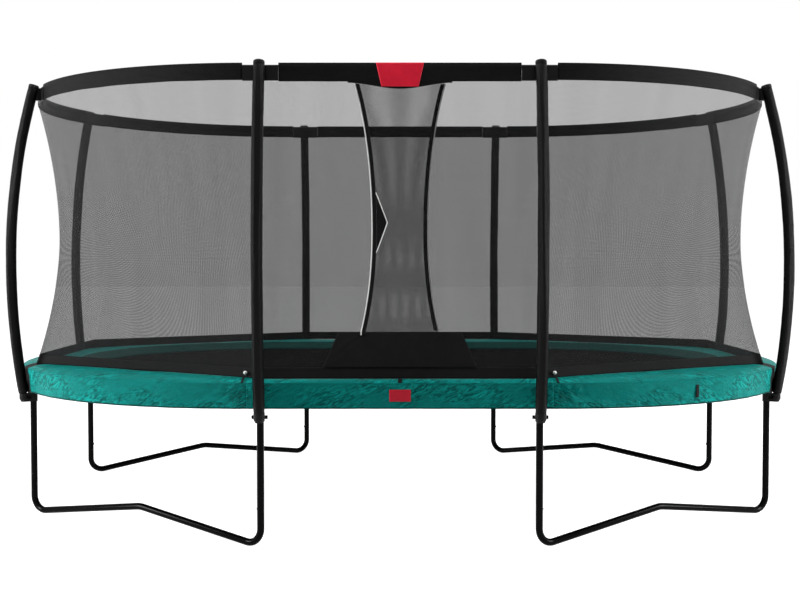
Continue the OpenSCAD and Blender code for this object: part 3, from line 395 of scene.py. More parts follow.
def unit(value):
    """A value held between 0 and 1."""
    return min(1.0, max(0.0, value))


def band_offset(column, s, low, tall, seed):
    """Offset outwards and height of a column of a sleeve at s metres along it."""
    side, share = BAND[column % len(BAND)]
    top_bulge = 0.0035 * exp(-((share - 0.80) / 0.16) ** 2)
    half = 0.0042 + top_bulge
    wave = 0.0022 * rough_noise(s * 5.0 + 3.0 * share, share * 1.5, seed)
    pucker = 0.0013 * rough_noise(s * 34.0 + 9.0 * share, share * 5.0, seed + 4.0)
    stitch = 0.0008 if 0.55 < share < 0.60 or 0.05 < share < 0.09 else 0.0
    offset = side * (half - stitch) + (wave + pucker) * min(1.0, 2.2 * (1.1 - share))
    if side > 0.99 or side < -0.99:
        z = low + 0.004 + (tall - 0.008) * share
    else:
        rise = sqrt(max(0.0, 1.0 - side * side)) * 0.004
        z = low + tall - 0.004 + rise if share >= 1.0 else low + 0.004 - rise
    sag = 0.0010 * rough_noise(s * 6.0, seed * 2.0)
    return offset, z + sag * (1.0 - unit(share))


def quarter(point, side, depth):
    """A point of the right back quarter, mirrored into another quarter."""
    return Vector((side * point[0], depth * point[1], point[2]))


def lay_bend(side, depth, from_deg, to_deg):
    """Lays a section round a bend, from its radius, its height and the share of the way."""
    def lay(r, z, v):
        a = radians(from_deg + (to_deg - from_deg) * v)
        return quarter((BEND_X + r * cos(a), r * sin(a), z), side, depth)
    return lay


def lay_straight(depth, half):
    """Lays a section along the front or the back in the same way."""
    return lambda r, z, v: Vector((-half + 2.0 * half * v, depth * r, z))


def ring_sleeve(name, node, length, rows, low, tall, seed, lay):
    def point(u, v):
        offset, z = band_offset(round(u * len(BAND)), v * length, low, tall, seed)
        return lay(RING_R + offset, z, v)

    sewn(name, len(BAND), rows, point, (0.23, length), [band_cloth], "black_fabric", [node],
                   closed=True)


def bent_sleeve(end, word, from_deg, to_deg, low, tall, side, depth, seed):
    length = RING_R * radians(to_deg - from_deg)
    node = f"ring_sleeve_{word}"
    ring_sleeve(f"{node}_{end}", node, length, int(length / 0.010), low, tall, seed,
                lay_bend(side, depth, from_deg, to_deg))


for depth, name, low, tall, seed in ((-1, "ring_sleeve_front", 2.6742, 0.1074, 1.7),
                                     (1, "ring_sleeve_back", 2.6810, 0.0925, 8.2)):
    ring_sleeve(name, name, 1.392, 140, low, tall, seed, lay_straight(depth, 0.696))
for side, word in SIDES:
    bent_sleeve("middle", word, -21.30, 21.30, 2.6805, 0.0985, side, 1, 20.0 + side)
    for (depth, end), tall in zip(ENDS, (0.0995, 0.0930)):
        bent_sleeve(end, word, 28.70, 88.97, 2.6820, tall, side, depth, 30.0 + 3.0 * side + depth)

# ---- Safety net ----
# Fine knitted black mesh that hangs from the ring, is drawn in at its waist
# and ends at a hem on the pad. Each panel is sewn to the sleeves of two poles.
HEM_Z, NET_LOW, NET_HIGH, BAND_Z = 0.9751, 1.0354, 2.6777, 2.678
FOOT_R, SEAM_X = 1.658, 0.8002


def net_share(z):
    return (z - HEM_Z) / (BAND_Z - HEM_Z)


def waist(z):
    return 0.134 * (1.0 - (2.0 * net_share(z) - 1.0) ** 2)


def net_r(z):
    return FOOT_R - 0.046 * net_share(z) - waist(z)


# Coverage of the mesh: small round holes on a square grid.
holes, first, last = effect("knitted_holes", {"Vector": "Vector", "Cell": "Float", "Open": "Float"},
                            {"Coverage": "Float", "Height": "Float"})
axes = add_node(holes, "ShaderNodeSeparateXYZ", {0: first.outputs["Vector"]})
turns = calc(holes, "DIVIDE", 2.0 * pi, first.outputs["Cell"])
waves = [calc(holes, "COSINE", calc(holes, "MULTIPLY", axes.outputs[axis], turns)) for axis in (0, 1)]
both = calc(holes, "ADD", *waves)
shifted = calc(holes, "ADD", both, first.outputs["Open"])
holes.links.new(mapped(holes, shifted, -0.8, 1.1, 0.86, 0.25), last.inputs["Coverage"])
holes.links.new(both, last.inputs["Height"])

# Painted highlights of the folds in the door's two cloths: the mesh opens in upright light stripes near the
# middle, wide and far apart at the top, narrow below, and lost halfway up.
FOLD_HIGHLIGHT_LOW, FOLD_HIGHLIGHT_HIGH = 1.20, 2.70
fold_highlight_stripes, first, last = effect("door_fold_highlights", {"Vector": "Vector", "Strength": "Float"}, {"Open": "Float"})
axes = add_node(fold_highlight_stripes, "ShaderNodeSeparateXYZ", {0: first.outputs["Vector"]})
pitch = mapped(fold_highlight_stripes, axes.outputs[2], 1.90, 2.57, 90.0, 27.0)
swing = calc(fold_highlight_stripes, "COSINE", calc(fold_highlight_stripes, "MULTIPLY", axes.outputs[0], pitch))
along = mapped(fold_highlight_stripes, axes.outputs[2], FOLD_HIGHLIGHT_LOW, FOLD_HIGHLIGHT_HIGH)
stripe_tone = add_node(fold_highlight_stripes, "ShaderNodeValToRGB", {"Fac": along})
stops = stripe_tone.color_ramp.elements
stops[0].position, stops[0].color = 0.00, (0.5, 0.5, 0.5, 1.0)
stops[1].position, stops[1].color = 1.00, (0.0, 0.0, 0.0, 1.0)
for height, level in ((1.29, 0.5), (1.34, 0.05), (1.42, 0.05), (1.48, 0.5), (1.57, 0.5), (1.65, 1.0),
                      (1.71, 0.8), (1.80, 0.5), (1.93, 0.5), (2.05, 0.15), (2.20, 0.0)):
    stop = stops.new((height - FOLD_HIGHLIGHT_LOW) / (FOLD_HIGHLIGHT_HIGH - FOLD_HIGHLIGHT_LOW))
    stop.color = (level, level, level, 1.0)
signed = mapped(fold_highlight_stripes, stripe_tone.outputs["Color"], 0.0, 1.0, -1.0, 1.0)
wave = calc(fold_highlight_stripes, "MULTIPLY", swing, signed)
lifted = calc(fold_highlight_stripes, "ADD", wave, calc(fold_highlight_stripes, "ABSOLUTE", signed))
within = mapped(fold_highlight_stripes, calc(fold_highlight_stripes, "ABSOLUTE", axes.outputs[0]), 0.15, 0.22, 1.0, 0.0,
                interpolation_type="SMOOTHSTEP")
opened = calc(fold_highlight_stripes, "MULTIPLY", calc(fold_highlight_stripes, "MULTIPLY", lifted, within), first.outputs["Strength"])
fold_highlight_stripes.links.new(opened, last.inputs["Open"])


def knitted_net(name, fold_highlight=0.0, turned=0.0):
    """Black knitted mesh, a little more open in some upright streaks, and more open still in painted highlight
    stripes of folds where asked for. turned is the angle of its rows.
    """
    made, tree, shader, where = finish_of(
        name, (0.009, 0.009, 0.0095), (0.014, 0.014, 0.0145), 0.55, 0.70, 5.0, "UV", 0.05)
    hang = add_node(tree, "ShaderNodeMapping", {"Vector": where, "Scale": (7.0, 0.6, 1.0)})
    open_up = mapped(tree, clouds(tree, hang.outputs[0], 1.0, 2.0), 0.3, 0.7, -0.05, 0.11)
    # Painted highlights: the door's cloths open in light upright stripes where their folds would shine.
    if fold_highlight:
        spot = add_node(tree, "ShaderNodeTexCoord").outputs["Object"]
        stripes = use_effect(tree, fold_highlight_stripes, {"Vector": spot, "Strength": fold_highlight})["Open"]
        open_up = calc(tree, "ADD", open_up, stripes)
    rows = add_node(tree, "ShaderNodeMapping", {"Vector": where, "Rotation": (0.0, 0.0, turned)}).outputs[0]
    mesh_holes = use_effect(tree, holes, {"Vector": rows, "Cell": 0.003, "Open": open_up})
    tree.links.new(mesh_holes["Coverage"], shader.inputs["Alpha"])
    raise_by(tree, shader, mesh_holes["Height"], 0.25, 0.0005)
    return made


net_cloth = knitted_net("knitted_net")


def on_front(x, z, inwards):
    return Vector((x, -net_r(z) + inwards, z))


def bend_points(top, chord_a, chord_b):
    """A panel on a bend hangs from the ring's curve and ends on the chord between two poles' feet."""
    def point(u, z, out=0.0):
        (x, y), bearing = top(u)
        low_x = chord_a[0] + (chord_b[0] - chord_a[0]) * u
        low_y = chord_a[1] + (chord_b[1] - chord_a[1]) * u
        share = net_share(z)
        push = out - waist(z) * (1.0 - 0.4 * sin(pi * u))
        return (low_x + (x - low_x) * share + push * cos(bearing),
                low_y + (y - low_y) * share + push * sin(bearing), z)
    return point


CORNER_ARC = RING_R * radians(65.0)
CORNER_PATH = CORNER_ARC + 0.075


def corner_top(u):
    run = u * CORNER_PATH
    past = max(0.0, run - CORNER_ARC)
    bearing = min(radians(90.0), radians(25.0) + run / RING_R)
    return (BEND_X + RING_R * cos(bearing) - past, RING_R * sin(bearing)), bearing


def end_top(u):
    bearing = radians(-25.0 + 50.0 * u)
    return (BEND_X + RING_R * cos(bearing), RING_R * sin(bearing)), bearing


FOOT = (BEND_X + FOOT_R * cos(radians(25.0)), FOOT_R * sin(radians(25.0)))
corner_point = bend_points(corner_top, FOOT, (POST_X, FOOT_R))
end_point = bend_points(end_top, (FOOT[0], -FOOT[1]), FOOT)


def net_ripple(u, v, seed):
    """A panel's soft unevenness, which its sewn edges hold back."""
    hold = min(1.0, 8.0 * min(u, 1.0 - u)) * min(1.0, 6.0 * min(v, 1.0 - v))
    return hold * 0.0015 * rough_noise(u * 5.0, v * 1.5, seed)


def net_bend(node, point, side, depth, width, seed):
    def place(u, v):
        u = 0.0002 + 0.9996 * u
        spot = point(u, NET_LOW + (NET_HIGH + 0.0045 - NET_LOW) * v, net_ripple(u, v, seed))
        return quarter(spot, side, depth)

    panel = sewn(f"{node}_mesh", 48, 48, place, (width, 1.66), [net_cloth], "net_mesh", [node],
                 flip=side * depth < 0)


for side, word in SIDES:
    net_bend(f"net_end_{word}", end_point, side, 1, 1.40, 3.0 + side)
    for depth, end in ENDS:
        net_bend(f"net_corner_{end}_{word}", corner_point, side, depth, 1.86, 10.0 + side + 3 * depth)


def back_point(u, v):
    x, z = -SEAM_X + 2.0 * SEAM_X * u, NET_LOW + (NET_HIGH + 0.0035 - NET_LOW) * v
    return Vector((x, net_r(z) + net_ripple(u, v, 40.0), z))


panel = sewn("net_back_mesh", 48, 48, back_point, (1.6, 1.66), [net_cloth], "net_mesh", ["net_back"], flip=True)

# ---- Door ----
# Two net panels overlap in the middle of the front. Each is sewn to its pole,
# to the ring and to the threshold, and its curved free edge has a black strip
# and a thick piping. The outer panel opens at the left and has a pull tab.
HINGE_X, TAB_Z, THRESHOLD_Z, DOOR_TOP = 0.300, 1.870, 1.240, 2.650
NET_MID, TAB_HALF, HEM_X = (HEM_Z + BAND_Z) / 2.0, 0.175, 0.7997
PARTS = ((True, "upper"), (False, "lower"))


def door_half(z):
    """Half the width of the overlap, least halfway up, wider towards the ring and the threshold."""
    share = (max(z, THRESHOLD_Z) - NET_MID) / ((BAND_Z - HEM_Z) / 2.0)
    if share > 0.0:
        return 0.159 + 0.081 * share ** 2 + 0.021 * share ** 4
    return 0.159 + 0.096 * share ** 2 - 0.050 * share ** 3


def header_low(x):
    """The header's lower edge, which hangs lowest in the middle."""
    return BAND_Z - 0.0115 - 0.034 * cos(radians(90.0) * x / HINGE_X) ** 2


def header_z(x):
    return header_low(x) if abs(x) < HINGE_X else NET_HIGH


def door_z(x, upper, v):
    """Height in a panel's upper part, from the tab to the header, or in its lower part, down to the hem."""
    if upper:
        return TAB_Z + (header_z(x) + (0.005 if abs(x) < HINGE_X else 0.0) - TAB_Z) * v
    return NET_LOW + (TAB_Z - NET_LOW) * v


def give(obj):
    """Bakes the object's placement into its mesh."""
    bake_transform(obj)


def layer(free, x=0.0):
    """How far the outer or inner cloth lies inwards of the net's surface. Both meet it where they are sewn."""
    return 0.004 * free * unit((HEM_X - abs(x)) * 12.0)


def ripples(x, z, free):
    edge = unit((0.79 - abs(x)) * 8.0)
    fine = 0.0003 * rough_noise(x * 23.0, z * 2.0, free)
    return edge * (0.0012 * rough_noise(x * 9.0, z * 1.2, 4.0 * free) + fine)


door_nets = {-1: knitted_net("knitted_outer_net", fold_highlight=0.23),
             1: knitted_net("knitted_inner_net", fold_highlight=0.23, turned=0.6)}


def door_panel(name, free, upper, stands_for):
    def place(u, v):
        z = door_z(0.5, upper, v)
        for _ in range(3):
            free_x = free * door_half(z)
            x = free_x + (-free * SEAM_X - free_x) * u
            z = door_z(x, upper, v)
        return on_front(x, z, layer(free, x) + 0.6 * free * abs(ripples(x, z, free)))

    tall = 0.80 if upper else 0.84
    panel = sewn(name, 56, 48, place, (1.0, tall), [door_nets[free]], "net_mesh", stands_for, None,
                 flip=free > 0)
    give(panel)


def edge_tube(name, free, z_from, z_to, section, size, materials, slot, stands_for):
    """A closed strip along a free edge. section gives distances from the edge and inwards."""
    def place(u, v):
        z = z_from + (z_to - z_from) * v
        away, inwards = section[round(u * len(section)) % len(section)]
        inwards += 0.0065 * unit((THRESHOLD_Z + 0.010 - z) / 0.014) if free < 0 else 0.0
        lift = free * abs(ripples(free * door_half(z), z, free))
        return on_front(free * (door_half(z) - away), z, layer(free) + free * inwards + lift)

    piece = sewn(name, len(section), 60, place, size, materials, slot, stands_for, None, closed=True)
    give(piece)
    return piece


def woven(finish, thread, strength, depth):
    """Gives a finish the threads of a plain weave."""
    made, tree, shader, where = finish
    raise_by(tree, shader, threads_of(tree, where, thread), strength, depth)
    return made


door_black = black_cloth("door_strip_cloth", 0.42, 0.55)
piping_white = woven(finish_of(
    "piping_pale", (0.74, 0.74, 0.72), (0.84, 0.84, 0.82), 0.45, 0.60, 16.0, "UV"), 0.0016, 0.4, 0.0004)

STRIP = [(0.0002, 0.0018), (0.0002, 0.0032), (0.004, 0.0036), (0.011, 0.0032), (0.019, 0.0036),
         (0.0228, 0.0032), (0.0228, 0.0018), (0.011, 0.0016)]
PIPING = [(-0.0036 + 0.0033 * cos(pi * i / 5.0), 0.0006 + 0.0024 * sin(pi * i / 5.0)) for i in range(10)]
for free, word, side in ((-1, "outer", "right"), (1, "inner", "left")):
    for upper, part in PARTS:
        door_panel(f"door_{word}_panel_{part}", free, upper, [f"{word}_flap", f"net_front_{side}"])
        foot = THRESHOLD_Z - (0.022 if free < 0 else -0.003)
        low, high = (TAB_Z, header_z(0.24) - 0.003) if upper else (foot, TAB_Z)
        edge_tube(f"door_{word}_strip_{part}", free, low, high, STRIP, (0.05, high - low),
                            [door_black], "black_fabric", [f"{word}_flap_edge"])
        edge_tube(f"door_{word}_piping_{part}", free, low, high, PIPING, (0.021, high - low),
                            [piping_white], "flap_edge", [f"{word}_flap_edge"])


def tab_spot(v, upper):
    """Height in the pull tab, where it starts beside the strip, and how far it reaches from there."""
    z = TAB_Z + (TAB_HALF if upper else -TAB_HALF) * v
    return z, -door_half(z) + 0.0233, 0.002 + 0.062 * (1.0 - abs(z - TAB_Z) / TAB_HALF)


for upper, part in PARTS:
    def tab_point(u, v, upper=upper):
        z, start, reach = tab_spot(v, upper)
        x = start + reach * u
        return on_front(x, z, -0.0072 - 0.0016 * sin(pi * u) * (1.0 - v) - abs(ripples(x, z, -1)))

    def tab_edge(u, v, upper=upper):
        z, start, reach = tab_spot(v, upper)
        a = 2.0 * pi * u
        x = start + reach - 0.002 + 0.0022 * cos(a)
        return on_front(x, z, -0.0078 - 0.0018 * sin(a) - abs(ripples(x, z, -1)))

    tab = sewn(f"pull_tab_{part}", 10, 18, tab_point, (0.07, 0.18), [door_black], "black_fabric", ["pull_tab"],
               None, flip=not upper)
    give(tab)
    tab = sewn(f"pull_tab_piping_{part}", 8, 18, tab_edge, (0.014, 0.18), [piping_white], "flap_edge",
               ["pull_tab"], None, closed=True)
    give(tab)

# ---- Hem, threshold and header ----
# A doubled band of black cloth along the net's lower edge, an opaque panel
# under the door, and a curved strip above it that is sewn to the ring sleeve.
hem_cloth = black_cloth("hem_cloth", 0.44, 0.58, crease=0.6)


def thicken(piece, thickness, offset=0.0):
    """Gives a sheet its thickness."""
    wall = piece.modifiers.new("thickness", "SOLIDIFY")
    wall.thickness = thickness
    wall.offset = offset
    return piece


def hem_band(name, point, length, flip):
    band = thicken(sewn(name, 90, 8, point, (length, 0.060), [hem_cloth], "black_fabric", ["net_hem"],
                        flip=flip), 0.0022)


def hem_wave(s, v, seed):
    return 0.0010 * rough_noise(s * 9.0, v * 2.0, seed) + 0.0006 * rough_noise(s * 40.0, v * 3.0, seed)


for side, word in SIDES:
    for depth, end in ((-1, "front"), (1, "back"), (0, "end")):
        bend = end_point if depth == 0 else corner_point

        def hem_point(u, v, bend=bend, side=side, depth=depth):
            low = 0.0045 * (1.0 - v) * (2.0 * u - 1.0) ** 4
            spot = bend(0.0002 + 0.9996 * u, HEM_Z - low + 0.060 * v, hem_wave(u * 1.8, v, side + 3.0 * depth))
            return quarter(spot, side, depth or 1)

        hem_band(f"net_hem_{end}_{word}", hem_point, 1.38 if depth == 0 else 1.82, side * (depth or 1) < 0)
for depth, end in ENDS:
    def hem_point(u, v, depth=depth):
        x, z = -HEM_X + 2.0 * HEM_X * u, HEM_Z - 0.0031 + 0.0631 * v
        return Vector((x, depth * (net_r(z) + hem_wave(x, v, 5.0 + depth)), z))

    hem_band(f"net_hem_{end}", hem_point, 1.60, depth > 0)


THRESHOLD_FOOT, THRESHOLD_HEAD, THRESHOLD_LAP = 0.445, 0.358, 0.0060


def threshold_point(u, v):
    z = NET_LOW + (THRESHOLD_Z - THRESHOLD_LAP - NET_LOW) * v
    half = THRESHOLD_FOOT + (THRESHOLD_HEAD - THRESHOLD_FOOT) * v
    x = -half + 2.0 * half * u
    hold = min(1.0, 9.0 * min(v, 1.0 - v))
    fan = exp(-((abs(x) - 0.31) / 0.11) ** 2)
    crease = fan * 0.0050 * rough_noise(x * 16.0 - z * 22.0, z * 9.0, 3.0)
    soft_wave = 0.0014 * rough_noise(x * 5.0, z * 8.0, 7.0)
    return on_front(x, z, -0.0076 - hold * abs(crease + soft_wave))


panel = thicken(sewn("door_threshold_panel", 110, 30, threshold_point, (0.80, 0.198), [hem_cloth],
                     "black_fabric", ["door_threshold"]), 0.0014)


def header_point(u, v):
    x = -HINGE_X + 2.0 * HINGE_X * u
    low = header_low(x)
    return Vector((x, -RING_R - 0.0006 * sin(pi * v), low + (BAND_Z - 0.0003 - low) * v))


strip = thicken(sewn("door_header_strip", 60, 6, header_point, (0.60, 0.034), [hem_cloth],
                     "black_fabric", ["door_header"]), 0.0020)

# ---- Net ties ----
# White balls on black elastic beside the side posts, and a flat strap over the
# pad midway along each side.
ball_white, tree, shader, where = finish_of(
    "tie_ball_white", (0.78, 0.77, 0.73), (0.84, 0.83, 0.80), 0.22, 0.34, 30.0)
shader.inputs["Coat Weight"].default_value = 0.2
raise_by(tree, shader, clouds(tree, where, 300.0, 2.0), 0.05, 0.0003)
dress(["net_tie_balls"], ball_white)

webbing = black_cloth("strap_webbing", 0.52, 0.66, tone=0.006, thread=0.0016, crease=0.15)
TIE_RUN = (FOOT[0] - POST_X, FOOT[1] - FOOT_R)
TIE_LEAN = atan2(0.75 * waist(HEM_Z + 0.060), 0.060)
for side, word in SIDES:
    for depth, end in ENDS:
        stand = (Matrix.Translation((POST_X, FOOT_R, HEM_Z)) @ Matrix.Rotation(atan2(*TIE_RUN[::-1]), 4, "Z")
                 @ Matrix.Rotation(TIE_LEAN, 4, "X"))

        def elastic_point(u, v, stand=stand, side=side, depth=depth):
            a = 2.0 * pi * u
            bulge = 0.0013 * sin(a) * (1.0 + 0.2 * sin(90.0 * v))
            spot = stand @ Vector((0.103 + 0.0058 * cos(a), 0.0038 + bulge, 0.0005 + 0.0295 * v))
            return quarter(spot, side, depth)

        sewn(f"tie_elastic_{end}_{word}", 16, 14, elastic_point, (0.03, 0.030), [webbing],
                       "black_fabric", ["net_tie_straps"], closed=True)

PAD_IN, PAD_OUT, PAD_EDGE, PAD_TOP, SKIRT_Z = 1.290, 1.725, 0.9531, 0.9741, 0.809
PAD_MID, CROWN_FLAT, CROWN_R = 1.5075, 0.110, 0.28565


def crown_z(r):
    """The pad is flat on top and rounded towards both edges."""
    past = max(0.0, abs(r - PAD_MID) - CROWN_FLAT)
    return PAD_TOP - CROWN_R + sqrt(CROWN_R ** 2 - past ** 2)


def crown_strap(name, x, half, start, depth):
    """A strap from behind the hem over the pad's crown to its outer edge."""
    length = PAD_OUT - 0.0012 - start

    def strap_point(u, v):
        r = start + length * v
        return Vector((x + half * (2.0 * u - 1.0), depth * r, crown_z(r) + 0.0022))

    strap = thicken(sewn(name, 4, 16, strap_point, (2.0 * half, length), [webbing], "black_fabric",
                         ["net_tie_straps"], flip=depth > 0), 0.0022)


for depth, end in ENDS:
    crown_strap(f"hem_strap_{end}", 0.0, 0.012, 1.6624, depth)
    for side, word in SIDES:
        crown_strap(f"tie_strap_{end}_{word}", side * 0.9002, 0.006, 1.6167, depth)

# ---- Labels ----
# Plain sewn patches: a red trapezoid over the ring sleeve above the door, a
# red one on the front skirt and a small black tag on the right front corner.
def red_cloth(name, tone):
    return woven(finish_of(
        name, (tone, 0.016 * tone, 0.052 * tone), (1.2 * tone, 0.022 * tone, 0.064 * tone), 0.42, 0.54,
        9.0, "UV", 0.16), 0.0008, 0.3, 0.0003)


LABEL_TOP, LABEL_TALL, LABEL_HALF, LABEL_FLARE = 2.7805, 0.136, 0.107, 0.031
PATCH_WIDE, PATCH_TALL, TAG_WIDE, TAG_TALL, TAG_BEARING = 0.122, 0.069, 0.024, 0.076, -59.3


def label_point(u, v):
    half = LABEL_HALF + LABEL_FLARE * v
    z = LABEL_TOP - LABEL_TALL * (1.0 - v)
    bulge = 0.0022 * sin(pi * u) * sin(pi * v) + 0.0006 * rough_noise(u * 4.0, v * 3.0, 2.0)
    return Vector((-half + 2.0 * half * u, -RING_R - 0.0088 - bulge, z))


label = thicken(sewn("door_label_patch", 28, 16, label_point, (0.26, 0.136),
                     [red_cloth("label_red_cloth", 0.68)], "label_red", ["door_label"]), 0.0010)


def skirt_out(z):
    return PAD_OUT - 0.016 * (PAD_EDGE - z) / (PAD_EDGE - SKIRT_Z)


def skirt_patch_point(u, v):
    z = (PAD_EDGE + SKIRT_Z) / 2.0 + PATCH_TALL * (v - 0.5)
    x = PATCH_WIDE * (u - 0.5)
    return Vector((x, -skirt_out(z) - 0.0036 - 0.0008 * sin(pi * u) * sin(pi * v), z))


patch = thicken(sewn("skirt_patch_cloth", 16, 10, skirt_patch_point, (PATCH_WIDE, PATCH_TALL),
                     [red_cloth("patch_red_cloth", 0.43)], "label_red", ["skirt_patch"]), 0.0008)


def tag_point(u, v):
    z = (PAD_EDGE + SKIRT_Z) / 2.0 + TAG_TALL * (v - 0.5)
    a = radians(TAG_BEARING)
    r = skirt_out(z) + 0.0040
    across = TAG_WIDE * (u - 0.5) - 0.008 * (v - 0.5)
    return Vector((BEND_X + r * cos(a) - across * sin(a), r * sin(a) + across * cos(a), z))


tag = thicken(sewn("size_tag_cloth", 4, 10, tag_point, (TAG_WIDE, TAG_TALL), [webbing], "black_fabric",
                   ["size_tag"]), 0.0008)

# ---- Spring pad ----
# Foam slabs in green coated cloth over rail and springs. A skirt hangs from
# the outer seam over the rail, with a narrow dark binding along its edge.
pad_cloth, tree, shader, where = finish_of(
    "pad_green_cloth", (0.0015, 0.172, 0.153), (0.003, 0.205, 0.182), 0.34, 0.48, 4.0, "UV", 0.03)
# Painted shade and painted highlights: dark and light slanting crease streaks scale the pad cloth's colour. The
# same streaks also raise its bump.
slant = add_node(tree, "ShaderNodeMapping", {
    "Vector": where, "Rotation": (0.0, 0.0, 0.75), "Scale": (0.028, 0.080, 1.0)}, vector_type="TEXTURE")
strokes = clouds(tree, slant.outputs[0], 1.0, 3.0, Roughness=0.55, Distortion=1.5)
strength = mapped(tree, clouds(tree, where, 3.2, 1.0), 0.40, 0.62, 0.7, 5.6)
crease = calc(tree, "MULTIPLY", calc(tree, "SUBTRACT", strokes, 0.5), strength)
held = add_node(tree, "ShaderNodeClamp", {"Value": calc(tree, "ADD", crease, 1.0), "Min": 0.45, "Max": 1.75})
# The clamped streaks, from 0.45 to 1.75 times, darken and lighten the colour as painted crease shade and
# painted highlights.
flat_tone = shader.inputs["Base Color"].links[0].from_socket
crease_shaded_tone = add_node(tree, "ShaderNodeVectorMath", {0: flat_tone, "Scale": held.outputs[0]}, operation="SCALE")
tree.links.new(crease_shaded_tone.outputs[0], shader.inputs["Base Color"])
height = calc(tree, "MULTIPLY_ADD", crease, 4.0, threads_of(tree, where, 0.0012))
raise_by(tree, shader, height, 0.8, 0.0009)
# Dark green binding along the skirt's edge. The same material is also painted shade on the slab's inner edge,
# whose inner face lies in shadow.
binding_and_edge_shade = woven(finish_of(
    "pad_binding_and_edge_shade", (0.001, 0.034, 0.029), (0.002, 0.048, 0.041), 0.50, 0.62, 12.0, "UV", 0.03),
    0.0014, 0.5, 0.0006)

# Section of a cover: the slab's inner edge, its top, the outer seam, the skirt
# with its binding, and the underside, whose inner edge droops onto the mat.
PAD = [(1.2895, 0.9400, "slab"), (1.2885, 0.9460, "slab"), (1.2905, 0.9512, "slab")]
PAD += [(1.296 + 0.4225 * i / 18.0, None, "slab") for i in range(19)]
PAD += [(1.7225, 0.9532, "lip"), (1.7252, 0.9515, "lip"), (1.7245, 0.9494, "seam"), (1.7236, 0.9478, "seam")]
PAD += [(None, 0.9440 - 0.1240 * i / 13.0, "skirt") for i in range(14)]
PAD += [(None, 0.8170, "bind"), (None, 0.8130, "bind"), (None, 0.8092, "bind")]
PAD += [(1.7050, 0.8091, "bind"), (1.7040, 0.8130, "bind"), (1.7048, 0.8180, "bind")]
PAD += [(1.7046 + 0.0116 * i / 4.0, 0.8220 + 0.1100 * i / 4.0, "inside") for i in range(5)]
PAD += [(1.7140 - 0.4200 * i / 14.0, 0.9374, "slab") for i in range(15)]


def pad_girth():
    spots = [(skirt_out(z) if r is None else r, crown_z(r) if z is None else z) for r, z, _ in PAD]
    return sum(dist(*pair) for pair in zip(spots, spots[1:]))


def droop(r):
    """How far the slab's soft inner edge hangs down."""
    share = unit((1.368 - r) / 0.06)
    return 0.0245 * share * share * (3.0 - 2.0 * share)


def post_near(s, posts):
    return max([exp(-((s - p) / 0.11) ** 2) for p in posts] or [0.0])


def pad_spot(column, s, length, seed, posts, low):
    """Radius and height of a column of the pad's section, s metres along the section's own length.
    low tells how much further the skirt hangs at the start and at the end of the section."""
    r, z, part = PAD[column % len(PAD)]
    end = min(1.0, min(s, length - s) / 0.035)
    if part in ("skirt", "bind", "inside"):
        if r is None:
            r = skirt_out(z)
        depth = (0.9478 - z) / 0.139
        near = post_near(s, posts)
        wave = 0.0050 * rough_noise(s * 5.5, depth * 0.9, seed) * depth
        hang = 0.0016 * sin(2.0 * pi * s / 0.17 + 4.0 * rough_noise(s * 1.3, seed)) * depth ** 1.5
        slope = s * 30.0 + depth * 2.6 * (1.0 if rough_noise(s * 2.0, seed + 9.0) > 0.0 else -1.0)
        ridge = 1.0 - abs(rough_noise(slope, depth * 1.1, seed + 2.0)) * 2.2
        pucker = (0.0016 + 0.0040 * near) * max(0.0, ridge) * min(1.0, depth * 9.0)
        pucker *= exp(-depth * (3.2 - 1.6 * near))
        dents = 0.0062 * rough_noise(s * 11.0 + 3.0 * depth, depth * 1.6, seed + 6.0) * min(1.0, depth * 3.0)
        r -= max(0.0, dents) * end * min(1.0, 3.0 * (1.0 - depth) + 0.3)
        folds = 0.0044 * near * sin(2.0 * pi * (16.0 * s + 1.4 * depth * (1.0 if s > length / 2.0 else -1.0)))
        folds *= exp(-2.4 * depth) * min(1.0, depth * 7.0)
        r += (wave + hang + pucker + folds) * end
        z -= (low[0] + (low[1] - low[0]) * s / length) * depth
        z -= 0.020 * exp(-((s - posts[0]) / 0.085) ** 2) * depth if low[0] > low[1] else 0.0
    elif part == "slab" and z is None:
        edge = min(1.0, (r - PAD_IN) / 0.05, (PAD_OUT - r) / 0.05)
        z = crown_z(r) - 0.0018 * (1.0 - end) * edge
        z += edge * end * (0.0016 * rough_noise(s * 3.1, r * 7.0, seed) - 0.0012)
        z -= 0.0010 * max(0.0, rough_noise(s * 24.0, r * 10.0, seed + 5.0)) * (1.0 - edge) * end
    elif part == "slab" and r < 1.30:
        r += 0.0016 * rough_noise(s * 18.0, z * 20.0, seed) * end
    if part == "slab":
        z -= droop(r)
    return r, z


def pad_section(node, length, lay, seed, posts, rows, low=(0.0055, 0.0055), band=False):
    """One cover. Where band is set, its outer part at its end post is black, in the webbing material, over 160
    mm.
    """
    def place(u, v):
        r, z = pad_spot(round(u * len(PAD)), v * length, length, seed, posts, low)
        return lay(r, z, v)

    def part_of(column, row):
        r, _, part = PAD[column % len(PAD)]
        if band and (r is None or r > 1.60) and abs((row + 0.5) / rows * length - posts[0]) < 0.080:
            return 2
        # Material 1 is the skirt's binding, and also painted shade over the slab's inner edge below a radius of
        # 1.355.
        return 1 if part == "bind" or r is not None and r < 1.355 else 0

    sewn(f"{node}_cover", len(PAD), rows, place, (pad_girth(), length), [pad_cloth, binding_and_edge_shade, webbing],
                   "pad_green", [node], closed=True, parts=part_of)


for depth, end in ENDS:
    pad_section(f"pad_{end}", 1.750, lay_straight(depth, 0.8751), 11.0 + depth, (0.074, 1.674), 350)
    for side, word in SIDES:
        pad_section(f"pad_corner_{end}_{word}", 2.70, lay_bend(side, depth, 0.0, 90.0),
                    40.0 + 5 * side + depth, (0.75, 2.63), 500, low=(0.0125, 0.0055), band=True)

